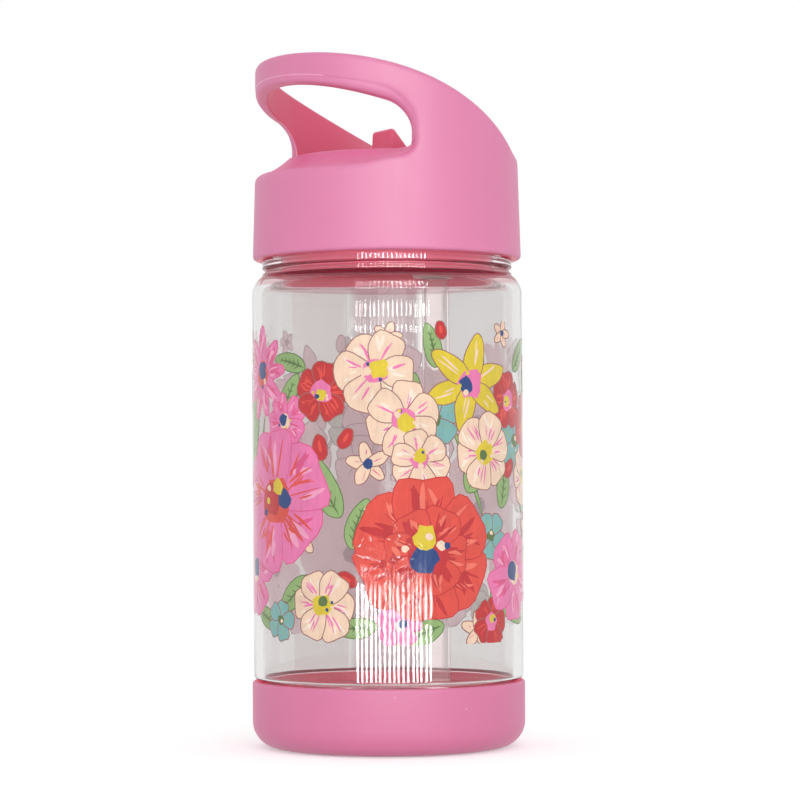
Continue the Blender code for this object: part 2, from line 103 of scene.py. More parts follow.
def rounded(u, v, radius, start, end, steps):
    """The arc that rounds an outline's corner at (u, v), from one multiple of 90 degrees to the next."""
    turns = math.radians(start), math.radians(end)
    out_u, out_v = sum(round(math.cos(a)) for a in turns), sum(round(math.sin(a)) for a in turns)
    return arc(u - radius * out_u, v - radius * out_v, radius, start, end, steps)


def filleted(corners, steps):
    """An outline from (u, v, radius) corners, each rounded by an arc that touches both of its sides."""
    outline = []
    for k, (u, v, radius) in enumerate(corners):
        if radius <= 0:
            outline.append((u, v))
            continue
        before, after = corners[k - 1], corners[(k + 1) % len(corners)]
        into = math.atan2(before[1] - v, before[0] - u)
        out = math.atan2(after[1] - v, after[0] - u)
        half = math.remainder(out - into, TAU) / 2
        reach = radius / math.sin(abs(half))
        middle = into + half
        centre_u, centre_v = u + reach * math.cos(middle), v + reach * math.sin(middle)
        swing = math.degrees(math.copysign(math.pi / 2 - abs(half), half))
        facing = math.degrees(middle) + 180
        outline += arc(centre_u, centre_v, radius, facing + swing, facing - swing, steps)
    return outline


def inset(outline, depth):
    """A closed outline moved inwards along its own normals."""
    points = np.array(outline, float)
    along = np.roll(points, -1, 0) - np.roll(points, 1, 0)
    along /= np.maximum(np.linalg.norm(along, axis=1, keepdims=True), 1e-9)
    area = np.sum(points[:, 0] * np.roll(points[:, 1], -1) - np.roll(points[:, 0], -1) * points[:, 1])
    side = 1 if area > 0 else -1
    return points + depth * side * np.stack([-along[:, 1], along[:, 0]], 1)


# Solids


def turned(profile, sides, closed=True):
    """A solid turned about Z from (radius, height) points, which form a loop or start and end on the axis."""
    bm = bmesh.new()
    rings = []
    for radius, height in profile:
        count = 1 if radius < 1e-6 else sides
        angles = [TAU * k / sides for k in range(count)]
        rings.append([bm.verts.new((radius * math.cos(a), radius * math.sin(a), height)) for a in angles])
    for low, high in zip(rings, rings[1:] + (rings[:1] if closed else [])):
        for k in range(sides):
            after = (k + 1) % sides
            corners = (low[k % len(low)], low[after % len(low)], high[after % len(high)], high[k % len(high)])
            corners = list(dict.fromkeys(corners))
            if len(corners) > 2:
                bm.faces.new(corners)
    return bm


def rod(radius, low, high, sides, edge=0.0):
    """A round bar along Z. Its rims are rounded where an edge is given."""
    profile = [(0, low), (radius - edge, low)]
    if edge:
        profile += rounded(radius, low, edge, -90, 0, 4)[1:]
        profile += rounded(radius, high, edge, 0, 90, 4)
    else:
        profile += [(radius, high)]
    return turned(profile + [(0, high)], sides, closed=False)


def moved(bm, x=0.0, y=0.0, z=0.0):
    bm.transform(Matrix.Translation((x, y, z)))
    return bm


def over_straw(bm):
    """A solid on the Z axis, moved to the straw's."""
    return moved(bm, y=HINGE_Y)


def along_hinge(bm):
    """A bar along Z, laid on the hinge's line."""
    bm.transform(Matrix.Rotation(math.pi / 2, 4, "Y"))
    return moved(bm, 0.0, HINGE_Y, HINGE_Z)


def bridge_rows(bm, rows):
    """Closed rows of as many points, or of vertices that are already there, joined in turn by quads."""
    made = [[p if isinstance(p, bmesh.types.BMVert) else bm.verts.new(p) for p in row] for row in rows]
    for low, high in zip(made, made[1:]):
        for k in range(len(low)):
            after = (k + 1) % len(low)
            bm.faces.new((low[k], low[after], high[after], high[k]))
    return made


def tube(rows):
    """A solid from rows of points, closed at both ends."""
    bm = bmesh.new()
    made = bridge_rows(bm, rows)
    bm.faces.new(made[0])
    bm.faces.new(made[-1])
    return bm


def slab(outline, half_width, edge):
    """A (Y, Z) outline given width along X, with both rims rounded."""
    rows, steps = [], 5
    for side in (-1, 1):
        turns = [math.pi / 2 * k / steps for k in range(steps + 1)]
        for a in turns if side < 0 else reversed(turns):
            x = side * (half_width - edge + edge * math.cos(a))
            rows.append([(x, y, z) for y, z in inset(outline, edge * (1 - math.sin(a)))])
    return tube(rows)


def at_angle(radius, angle, height):
    return (radius * math.cos(angle), radius * math.sin(angle), height)


def bezier(a, b, c, t):
    """A point of the curve from a to c that leans to b."""
    return a * (1 - t) ** 2 + b * 2 * t * (1 - t) + c * t * t


def thread(root_r, crest_r, start_turn, turns, start_z, sides):
    """A right-hand thread ridge whose ends fade into the wall. Its middle passes start_z at turn 0."""
    steps = round(turns * sides)
    rows = []
    for k in range(steps + 1):
        turn = turns * k / steps
        fade = min(1.0, (turn + 0.02) / 0.1, (turns - turn + 0.02) / 0.1)
        angle = TAU * (start_turn + turn)
        middle = start_z + PITCH * (start_turn + turn)
        crest = root_r + (crest_r - root_r) * fade
        shoulder = root_r + (crest_r - root_r) * fade * 0.8
        section = [(root_r, -0.8), (shoulder, -0.52), (crest, -0.3), (crest, 0.3), (shoulder, 0.52), (root_r, 0.8)]
        rows.append([at_angle(radius, angle, middle + height) for radius, height in section])
    return tube(rows)


def to_mesh(name, bm, scale=MM):
    bmesh.ops.recalc_face_normals(bm, faces=bm.faces)
    bm.transform(Matrix.Scale(scale, 4))
    mesh = bpy.data.meshes.new(name)
    bm.to_mesh(mesh)
    bm.free()
    return mesh


def new_object(name, data):
    made = bpy.data.objects.new(name, data)
    bpy.context.scene.collection.objects.link(made)
    return made


def combined(base, steps):
    """A solid after its Booleans, (operation, bmesh) pairs in turn. They run in millimetres, where they are exact."""
    target = new_object("blank", to_mesh("blank", base, 1.0))
    helpers = []
    for operation, bm in steps:
        helpers.append(new_object("helper", to_mesh("helper", bm, 1.0)))
        step = target.modifiers.new("step", "BOOLEAN")
        step.object, step.operation, step.solver = helpers[-1], operation, "EXACT"
    bpy.context.view_layer.update()
    shown = target.evaluated_get(bpy.context.evaluated_depsgraph_get())
    mesh = bpy.data.meshes.new_from_object(shown)
    for old in [target, *helpers]:
        bpy.data.objects.remove(old)
    bm = bmesh.new()
    bm.from_mesh(mesh)
    bmesh.ops.remove_doubles(bm, verts=bm.verts, dist=0.0002)
    bmesh.ops.dissolve_degenerate(bm, edges=bm.edges, dist=0.0001)
    bmesh.ops.holes_fill(bm, edges=[e for e in bm.edges if e.is_boundary])
    return to_mesh("solid", bm)


def piece(name, mesh, looks, body, node):
    """An object of the cup that rides a body and stands for a CAD node."""
    mesh = to_mesh(name, mesh) if isinstance(mesh, bmesh.types.BMesh) else mesh
    mesh.name = name
    mesh.shade_smooth()
    mesh.set_sharp_from_angle(angle=SHARP)
    for look in looks:
        mesh.materials.append(look)
    made = new_object(name, mesh)
    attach(made, body)
    if node:
        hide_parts(node)
    return made


def use_inner_look(made, is_inner):
    """Gives the second look to the faces whose (radius, height) the test picks."""
    for face in made.data.polygons:
        x, y, z = face.center / MM
        if is_inner(math.hypot(x, y), z):
            face.material_index = 1


# Finishes


def srgb(red, green, blue):
    """A colour written as 0 to 255, for a shader."""
    levels = [value / 255 for value in (red, green, blue)]
    return (*[v / 12.92 if v <= 0.04045 else ((v + 0.055) / 1.055) ** 2.4 for v in levels], 1.0)


WHITE, GREY = (1.0, 1.0, 1.0, 1.0), (0.8, 0.8, 0.8, 1.0)
# the second pink here is painted, shaded pink for where the clear plastic shows the pink parts behind it
DUST_GREY, PAINTED_PINK_THROUGH = (0.9, 0.85, 0.86, 1.0), srgb(204, 62, 88)
CLEAR_TINT, END_TINT = (0.8, 0.785, 0.78, 1.0), (0.93, 0.85, 0.89, 1.0)
CLEAR_PASSES, INK_PASSES = (0.975, 0.97, 0.97, 1.0), (0.95, 0.94, 0.94, 1.0)  # the tint of light that passes


def feed(tree, node, **inputs):
    """Sets a node's inputs, by name or as i0, i1 and so on. An input may be another node's output."""
    for key, value in inputs.items():
        socket = node.inputs[int(key[1:]) if key[1:].isdigit() else key.replace("_", " ")]
        if isinstance(value, bpy.types.NodeSocket):
            tree.links.new(value, socket)
        else:
            socket.default_value = value
    return node.outputs


def add(tree, kind, settings=None, **inputs):
    """The outputs of a new shader node."""
    node = tree.nodes.new("ShaderNode" + kind)
    for key, value in (settings or {}).items():
        setattr(node, key, value)
    return feed(tree, node, **inputs)


def calc(tree, operation, *values):
    """The result of a Math node."""
    return add(tree, "Math", {"operation": operation}, **{f"i{k}": value for k, value in enumerate(values)})[0]


def blend(tree, share, first, second):
    """A colour between two, the second where the share is 1."""
    return add(tree, "MixRGB", Fac=share, Color1=first, Color2=second)[0]


def mix_shaders(tree, share, first, second):
    return add(tree, "MixShader", Fac=share, i1=first, i2=second)[0]


def bump(tree, height, strength, depth):
    return add(tree, "Bump", Strength=strength, Distance=depth, Height=height)[0]


def place_on(tree):
    """The place on the cup, in metres."""
    return add(tree, "TexCoord")["Object"]


def spot_noise(tree, scale, detail, rise=1.0, roughness=0.5):
    """Noise over the surface. Its scale counts per millimetre, and times rise along the cup's height."""
    scales = [1000 * scale * value for value in (1.0, 1.0, rise)]
    place = add(tree, "Mapping", Vector=place_on(tree), Scale=scales)[0]
    return add(tree, "TexNoise", Vector=place, Scale=1.0, Detail=detail, Roughness=roughness)["Fac"]


def ranged(tree, value, low, high, from_low=0.3, from_high=0.7):
    """A value mapped from one range to another, and kept within it."""
    ends = {"From_Min": from_low, "From_Max": from_high, "To_Min": low, "To_Max": high}
    return add(tree, "MapRange", {"clamp": True}, Value=value, **ends)["Result"]


def new_group(name, **inputs):
    """A shared group that puts out a colour, a roughness and a normal: its tree, what it is given and its end."""
    tree = bpy.data.node_groups.new(name, "ShaderNodeTree")
    for label, value in inputs.items():
        kind = "NodeSocketFloat" if isinstance(value, float) else "NodeSocketColor"
        socket = tree.interface.new_socket(label.replace("_", " "), in_out="INPUT", socket_type=kind)
        socket.default_value = value
    for label, kind in (("Colour", "Color"), ("Roughness", "Float"), ("Normal", "Vector")):
        tree.interface.new_socket(label, in_out="OUTPUT", socket_type="NodeSocket" + kind)
    return tree, tree.nodes.new("NodeGroupInput").outputs, tree.nodes.new("NodeGroupOutput")


def moulded_skin_group():
    """The skin of a moulded plastic: slow shade changes, fine spark texture, faint scuffs and a few dust specks.

    Painted shade: the painted shade colour, a deeper pink for the hood's shaded inside, lies inside the inner radius,
    below the sill's height inside the sill's radius, and by the amount of Under on what faces down. The sill's painted
    shade lies on the wall's slope below the sill's height.
    """
    looks = {"Colour": GREY, "Roughness": 0.45, "Shade": 0.02, "Grain": 3.2, "Grain_Depth": 0.5}
    inner = {"Inner_Colour": GREY, "Inner_Radius": 0.0, "Under": 0.0}
    sill = {"Sill_Colour": GREY, "Sill_Radius": 0.0, "Sill_Height": 0.0}
    tree, given, out = new_group("moulded skin", **looks, Scuffs=0.06, Dust=0.5, **inner, **sill)
    flat = add(tree, "VectorMath", {"operation": "MULTIPLY"}, i0=place_on(tree), i1=(1000.0, 1000.0, 0.0))[0]
    radius = add(tree, "VectorMath", {"operation": "LENGTH"}, i0=flat)["Value"]
    height = add(tree, "SeparateXYZ", Vector=place_on(tree))["Z"]
    over = calc(tree, "MULTIPLY_ADD", height, 1000.0, calc(tree, "MULTIPLY", given["Sill Height"], -1.0))
    radii = {"i2": given["Sill Radius"], "i3": given["Inner Radius"]}
    limit = add(tree, "Mix", {"data_type": "FLOAT"}, Factor=ranged(tree, over, 0, 1, 0.2, 0.7), **radii)[0]
    deep = ranged(tree, calc(tree, "SUBTRACT", limit, radius), 0, 1, -0.5, 0.3)
    facing = add(tree, "SeparateXYZ", Vector=add(tree, "NewGeometry")["Normal"])["Z"]
    under = calc(tree, "MULTIPLY", ranged(tree, facing, 1, 0, -1.0, -0.7), given["Under"])
    slope = ranged(tree, radius, 1, 0, HOOD_R - 0.9, HOOD_R - 0.1)
    on_sill = calc(tree, "MULTIPLY", slope, ranged(tree, over, 1, 0, -0.3, 0.0))
    # painted shade: the sill's slope, the hood's inside and the faces that look down get a deeper pink
    colour = blend(tree, on_sill, given["Colour"], given["Sill Colour"])
    colour = blend(tree, calc(tree, "MAXIMUM", deep, under), colour, given["Inner Colour"])
    bright = calc(tree, "MULTIPLY_ADD", given["Shade"], ranged(tree, spot_noise(tree, 0.035, 2.0), -1, 1), 1.0)
    colour = add(tree, "HueSaturation", Color=colour, Value=bright)[0]
    cells = add(tree, "Mapping", Vector=place_on(tree), Scale=(150.0, 150.0, 150.0))[0]
    speck = add(tree, "TexVoronoi", {"feature": "F1"}, Vector=cells, Scale=1.0)["Distance"]
    dust = calc(tree, "MULTIPLY", ranged(tree, speck, 1, 0, 0.018, 0.03), given["Dust"])
    scuff = ranged(tree, spot_noise(tree, 0.35, 4.0, 0.18, 0.7), -1, 1)
    rough = calc(tree, "MULTIPLY_ADD", given["Scuffs"], scuff, given["Roughness"])
    per_metre = calc(tree, "MULTIPLY", given["Grain"], 1000.0)
    finer = add(tree, "VectorMath", {"operation": "SCALE"}, Vector=place_on(tree), Scale=per_metre)[0]
    grain = add(tree, "TexNoise", Vector=finer, Scale=1.0, Detail=3.0, Roughness=0.6)["Fac"]
    normal = bump(tree, grain, given["Grain Depth"], 0.00002)
    feed(tree, out, Colour=blend(tree, dust, colour, DUST_GREY), Roughness=rough, Normal=normal)
    return tree


def new_material(name):
    made = bpy.data.materials.new(name)
    made.use_nodes = True
    tree = made.node_tree
    return made, tree, tree.nodes["Principled BSDF"]


def grouped(name, group_tree, **amounts):
    """A material whose colour, roughness and normal come from a shared group, with the group's own outputs."""
    made, tree, shader = new_material(name)
    group = tree.nodes.new("ShaderNodeGroup")
    group.node_tree = group_tree
    given = feed(tree, group, **amounts)
    feed(tree, shader, Base_Color=given["Colour"], Roughness=given["Roughness"], Normal=given["Normal"])
    return made, tree, shader, given


def show(tree, surface):
    feed(tree, tree.nodes["Material Output"], Surface=surface)


def let_light_through(tree, surface, share, tint):
    """Lets a share of the light that falls on things behind the surface pass straight through it."""
    rays = add(tree, "LightPath")
    part = calc(tree, "MULTIPLY", calc(tree, "MAXIMUM", rays["Is Shadow Ray"], rays["Is Diffuse Ray"]), share)
    show(tree, mix_shaders(tree, part, surface, add(tree, "BsdfTransparent", Color=tint)[0]))


def moulded(name, skin, colour, roughness, specular=0.5, **amounts):
    """A moulded plastic or rubber in the shared skin. Amounts are the skin's own inputs."""
    made, tree, shader, _ = grouped(name, skin, Colour=colour, Roughness=roughness, **amounts)
    feed(tree, shader, Specular_IOR_Level=specular)
    return made


def mottled(tree, noise, colour, level):
    """A colour that is darker, down to a level, where the noise is high."""
    return blend(tree, ranged(tree, noise, 0, 1), colour, [level * v for v in colour[:3]] + [1.0])


def mould_waves(tree):
    """The faint flow waves that the mould leaves in the bottle's wall."""
    return bump(tree, spot_noise(tree, 0.22, 1.0, 0.12), 0.35, 0.0001)


def clear_plastic(name, painted_pink_share=0.0):
    """Clear copolyester: a little grey in the wall, faint flow waves from the mould and fine rub marks.

    The neck and the foot have the pinker end tint. Where a share is given, that share of the surface is a painted,
    shaded translucent pink, which stands in for the pink of the lid or the base cup that the thick plastic shows.
    """
    made, tree, shader = new_material(name)
    colour = mottled(tree, spot_noise(tree, 0.08, 3.0, 0.4), CLEAR_TINT, 0.985)
    height = add(tree, "SeparateXYZ", Vector=place_on(tree))["Z"]
    high = ranged(tree, height, 0, 1, MM * (SHOULDER_Z + 3.4), MM * (SHOULDER_Z + 4.4))
    low = ranged(tree, height, 1, 0, MM * (BASE_H + 0.2), MM * (BASE_H + 1.2))
    colour = blend(tree, calc(tree, "MAXIMUM", high, low), colour, END_TINT)
    rubs = ranged(tree, spot_noise(tree, 0.5, 4.0, 0.15, 0.65), 0.0, 0.035, 0.45, 0.75)
    feed(tree, shader, Base_Color=colour, Roughness=rubs, Normal=mould_waves(tree), Transmission_Weight=1.0, IOR=1.5)
    surface = shader.outputs[0]
    if painted_pink_share:
        surface = mix_shaders(tree, painted_pink_share, surface, add(tree, "BsdfTranslucent", Color=PAINTED_PINK_THROUGH)[0])
    let_light_through(tree, surface, 1.0, CLEAR_PASSES)
    return made


def frosted(name, colour, roughness, through, ior):
    """A translucent plastic."""
    made, tree, shader = new_material(name)
    slow = spot_noise(tree, 0.3, 3.0, 0.2)
    feed(tree, shader, Base_Color=mottled(tree, slow, colour, 0.93), Transmission_Weight=through, IOR=ior)
    rough = ranged(tree, slow, roughness - 0.05, roughness + 0.05)
    feed(tree, shader, Roughness=rough, Normal=bump(tree, spot_noise(tree, 2.5, 3.0), 0.3, 0.00002))
    return made


def ink_stroke_group():
    """Printed ink: brush streaks lighter and darker than the ink, mottled at the edges, and a faintly uneven gloss."""
    tree, given, out = new_group("ink strokes", Colour=GREY, Streaks=0.1, Roughness=0.1)
    brush = spot_noise(tree, 0.9, 3.0, 0.25, 0.65)
    patches = ranged(tree, spot_noise(tree, 0.16, 2.0), -0.6, 0.6)
    mixed = calc(tree, "MULTIPLY_ADD", ranged(tree, brush, -0.6, 0.6), 1.0, patches)
    bright = calc(tree, "MULTIPLY_ADD", mixed, given["Streaks"], 1.0)
    shaded = add(tree, "HueSaturation", Color=given["Colour"], Value=bright)[0]
    rough = calc(tree, "MULTIPLY_ADD", ranged(tree, brush, -0.03, 0.04), 1.0, given["Roughness"])
    feed(tree, out, Colour=shaded, Roughness=rough, Normal=mould_waves(tree))
    return tree


def ink(name, strokes, colour, roughness, streaks, thin=0.0):
    """Ink on the clear wall. Light passes it, so the side that shows through the cup is lit from behind as well."""
    made, tree, shader, given = grouped(name, strokes, Colour=colour, Roughness=roughness, Streaks=streaks)
    surface = shader.outputs[0]
    if thin:
        surface = mix_shaders(tree, thin, surface, add(tree, "BsdfTranslucent", Color=given["Colour"])[0])
    let_light_through(tree, surface, 0.6 if thin else 1.0, INK_PASSES)
    return made


# Camera and stage


def stage_point(azimuth, height, distance):
    """A point in metres round the cup. Its azimuth counts from the camera's, to the right."""
    return Vector(at_angle(distance, math.radians(CAMERA_TURN + azimuth), height))


def add_camera():
    data = bpy.data.cameras.new("camera")
    data.lens, data.sensor_width = 122.5, 36.0
    data.shift_x, data.shift_y = 0.0151, 0.10375
    data.clip_start, data.clip_end = 0.01, 20.0
    camera = new_object("camera", data)
    camera.location = stage_point(0, CAMERA_HEIGHT, CAMERA_DISTANCE)
    aim = stage_point(0, 0, -1).to_track_quat("-Z", "Y")
    camera.rotation_mode = "QUATERNION"
    camera.rotation_quaternion = aim @ Matrix.Rotation(math.radians(CAMERA_ROLL), 4, "Z").to_quaternion()
    bpy.context.scene.camera = camera


def seen_as_white(tree):
    """1 for the rays that show a background: the camera's, and those mirrored or passed by the cup."""
    rays = add(tree, "LightPath")
    first = calc(tree, "MAXIMUM", rays["Is Camera Ray"], rays["Is Glossy Ray"])
    return calc(tree, "MAXIMUM", first, rays["Is Transmission Ray"])


def add_world(level):
    world = bpy.data.worlds.new("world")
    world.use_nodes = True
    tree = world.node_tree
    tree.nodes.clear()
    light = add(tree, "Background", Color=(1.0, 0.99, 0.985, 1.0), Strength=level)[0]
    white = add(tree, "Background", Color=WHITE, Strength=1.0)[0]
    add(tree, "OutputWorld", Surface=mix_shaders(tree, seen_as_white(tree), light, white))
    bpy.context.scene.world = world


def stage_material(name):
    """A material for the stage, without a shader yet."""
    made, tree, shader = new_material(name)
    tree.nodes.remove(shader)
    return made, tree


def stage(name, mesh, look):
    mesh.materials.append(look)
    made = new_object(name, mesh)
    return made


def add_floor():
    """A pale floor that keeps the cup's shadow and is otherwise as white as the backdrop."""
    made, tree = stage_material("floor")
    matte = add(tree, "BsdfDiffuse", Color=GREY)[0]
    glow = add(tree, "Emission", Color=WHITE, Strength=calc(tree, "MULTIPLY", seen_as_white(tree), 0.42))[0]
    show(tree, add(tree, "AddShader", i0=matte, i1=glow)[0])
    half, top, sides = 2000, -0.1, 96
    floor = stage("floor", to_mesh("floor", turned([(half, top), (0, top)], sides, closed=False)), made)
    floor.visible_glossy = False


# Diode panels: rows of heights in metres, level, and half a panel's width in degrees
DIODES = {
    "diodes_low": ([(-0.031, 0.018)], 30.0, 0.8),
    "diodes_high": ([(0.1431, 0.1466), (0.151, 0.1575), (0.1584, 0.1588)], 18.0, 0.45),
    "diodes_neck": ([(0.175, 0.189)], 42.0, 0.38),
    "diodes_top": ([(0.27, 0.33), (0.39, 0.48)], 48.0, 0.4),
}


def add_strip_lights():
    """Rows of slim diodes round the camera, which the clear plastic mirrors as fine upright lines and dashes."""
    count, first, last = 17, -25.5, 34.5
    for name, (rows, level, half) in DIODES.items():
        bm = bmesh.new()
        for k in range(count):
            middle = first + (last - first) * k / (count - 1)
            for low, high in rows:
                corners = [(middle - half, low), (middle + half, low), (middle + half, high), (middle - half, high)]
                bm.faces.new([bm.verts.new(stage_point(side, z, CAMERA_DISTANCE)) for side, z in corners])
        made, tree = stage_material(name)
        show(tree, add(tree, "Emission", Color=WHITE, Strength=level)[0])
        panel = stage(name, to_mesh(name, bm, 1.0), made)
        panel.visible_camera = panel.visible_shadow = False
        panel.visible_diffuse = name == "diodes_low"


def add_card(name, left, right, colour, level, soft):
    """A card behind the cup that only the clear plastic shows, as an upright band with soft sides."""
    distance, low, high = 0.045, -0.066, 0.09
    bm = bmesh.new()
    middle, across = stage_point(180, 0.07, distance), stage_point(90, 0, 1)
    corners = [(left, low), (right, low), (right, high), (left, high)]
    bm.faces.new([bm.verts.new(middle + across * side + Vector((0, 0, z))) for side, z in corners])
    made, tree = stage_material(name)
    share = add(tree, "SeparateXYZ", Vector=add(tree, "TexCoord")["Generated"])["X"]
    from_middle = calc(tree, "ABSOLUTE", calc(tree, "ADD", share, -0.5))
    edge = ranged(tree, from_middle, 0.0, 1.0, 0.5 - soft, 0.5)
    glow = add(tree, "Emission", Color=colour, Strength=level)[0]
    show(tree, mix_shaders(tree, edge, glow, add(tree, "BsdfTransparent")[0]))
    card = stage(name, to_mesh(name, bm, 1.0), made)
    card.visible_camera = card.visible_shadow = card.visible_diffuse = card.visible_glossy = False


def add_lamp(name, azimuth, height, distance, size, power, glossy=True):
    """A soft square lamp that faces the cup."""
    data = bpy.data.lights.new(name, "AREA")
    data.shape, data.size, data.energy = "SQUARE", size, power
    lamp = new_object(name, data)
    lamp.location = stage_point(azimuth, height, distance)
    cup_middle = Vector((0, 0, 0.09))
    lamp.rotation_euler = (cup_middle - lamp.location).to_track_quat("-Z", "Y").to_euler()
    lamp.visible_glossy = glossy


# The cup's pieces


def build_base_cup(look, inner_look):
    floor_r, inner_r = BASE_R - BASE_CORNER, BASE_R - BASE_WALL
    # a hollow under the floor, then the ring that the cup stands on
    profile = [(0, 0.8), (floor_r - 5.0, 0.8)]
    profile += [(floor_r - 4.2, 0.65), (floor_r - 3.6, 0.15), (floor_r - 3.0, 0.0)]
    profile += rounded(BASE_R, 0, BASE_CORNER, -90, 0, 18)
    profile += [(BASE_R, 10.0)]
    profile += rounded(BASE_R, BASE_H, 0.7, 0, 90, 5)
    profile += rounded(inner_r, BASE_H, 0.35, 90, 180, 3)
    profile += rounded(inner_r, BASE_FLOOR, BASE_CORNER - BASE_WALL, 0, -90, 10)
    profile += [(FLOOR_RING_R, BASE_FLOOR), (0, BASE_FLOOR)]
    mesh = turned(profile, 160, closed=False)
    cup = piece("base_cup_shell", mesh, [look, inner_look], "bottle", "base_cup")

    def is_inner(radius, height):
        in_corner = math.hypot(max(0.0, radius - floor_r), max(0.0, BASE_CORNER - height)) < BASE_CORNER - 1.0
        return in_corner and radius < BASE_R - 1.0 and height > 2.0

    # painted shade: the cup's inside corner and floor get the darker pink
    use_inner_look(cup, is_inner)


def bottle_profile():
    """Half the bottle's section, from the axis under its floor round to the axis inside."""
    corner = BASE_CORNER - BASE_WALL - 0.3
    foot_in_r, inner_r = FOOT_R - BOTTLE_WALL, BOTTLE_R - BOTTLE_WALL
    profile = [(0, FLOOR_UNDER_Z), (FLOOR_RING_R, FLOOR_UNDER_Z)]
    profile += rounded(foot_in_r, FLOOR_UNDER_Z, 2.5, 90, 0, 6)
    profile += [(foot_in_r, FOOT_Z + corner), (foot_in_r - 0.4, FOOT_Z + corner - 1.8), (foot_in_r - 1.6, FOOT_Z + 1.2)]
    profile += [(FOOT_R - corner - 1.4, FOOT_Z + 0.25)]
    profile += rounded(FOOT_R, FOOT_Z, corner, -90, 0, 8)
    # the foot swells out over the base cup's rim
    swell = [math.pi / 2 * k / 8 for k in range(9)]
    profile += [(FOOT_R + 2.0 * math.sin(a), BASE_H + 0.3 + 1.1 * (1 - math.cos(a))) for a in swell]
    profile += [(BOTTLE_R, z) for z in (18.9, *WALL_RINGS)]
    profile += arc(BOTTLE_R - SHOULDER_R, SHOULDER_Z, SHOULDER_R, 0, 52, 14)
    # two fine steps lead from the shoulder into the groove
    for radius, height in ((32.35, 121.8), (31.75, 122.5)):
        profile += arc(radius + 0.15, height + 0.15, 0.15, 250, 180, 3)
        profile += arc(radius - 0.2, height + 0.5, 0.2, 0, 75, 4)
    profile += arc(GROOVE_R - 0.3, GROOVE_Z + 0.98, 0.25, 250, 110, 5)
    profile += arc(BEAD_R - 0.5, BEAD_Z + 0.3, 0.5, -80, 0, 6)
    profile += [(BEAD_R, BEAD_Z + 0.34), (BEAD_R, BEAD_TOP_Z - 0.54)]
    profile += rounded(BEAD_R, BEAD_TOP_Z, 0.5, 0, 90, 6)
    profile += rounded(NECK_R, BEAD_TOP_Z, 0.5, 270, 180, 3)
    profile += rounded(NECK_R, NECK_TOP_Z, 0.8, 0, 90, 5)
    profile += rounded(BORE_R, NECK_TOP_Z, 0.4, 90, 180, 3)
    profile += [(BORE_R, 131.0)]
    profile += arc(BORE_R + 0.5, 121.45, 0.5, 180, 244, 4)
    profile += arc(BOTTLE_R - SHOULDER_R, SHOULDER_Z, SHOULDER_R - BOTTLE_WALL, SHOULDER_SWEEP, 0, 12)
    profile += [(inner_r, z) for z in (*reversed(WALL_RINGS), FLOOR_Z + 1.7)]
    profile += rounded(inner_r, FLOOR_Z, 1.2, 0, -90, 6)
    return profile + [(FLOOR_RING_R, FLOOR_Z), (0, FLOOR_Z)]


def build_bottle(look, groove_look):
    ridge = thread(NECK_R - 0.6, NECK_R + 1.3, 0.0, 1.25, SKIRT_Z + 3.2, 192)
    mesh = combined(turned(bottle_profile(), 192, closed=False), [("UNION", ridge)])
    bottle = piece("clear_bottle", mesh, [look, groove_look], "bottle", "bottle_body")

    # painted pink: the groove under the lid and the swell over the base cup get the shaded translucent pink
    def takes_painted_pink(radius, height):
        under_lid = radius > GROOVE_R - 0.1 and SHOULDER_Z + 3.3 < height < BEAD_Z + 0.3
        over_base = radius > FOOT_R - 0.3 and BASE_H - 0.6 < height < BASE_H + 0.9
        return under_lid or over_base

    use_inner_look(bottle, takes_painted_pink)


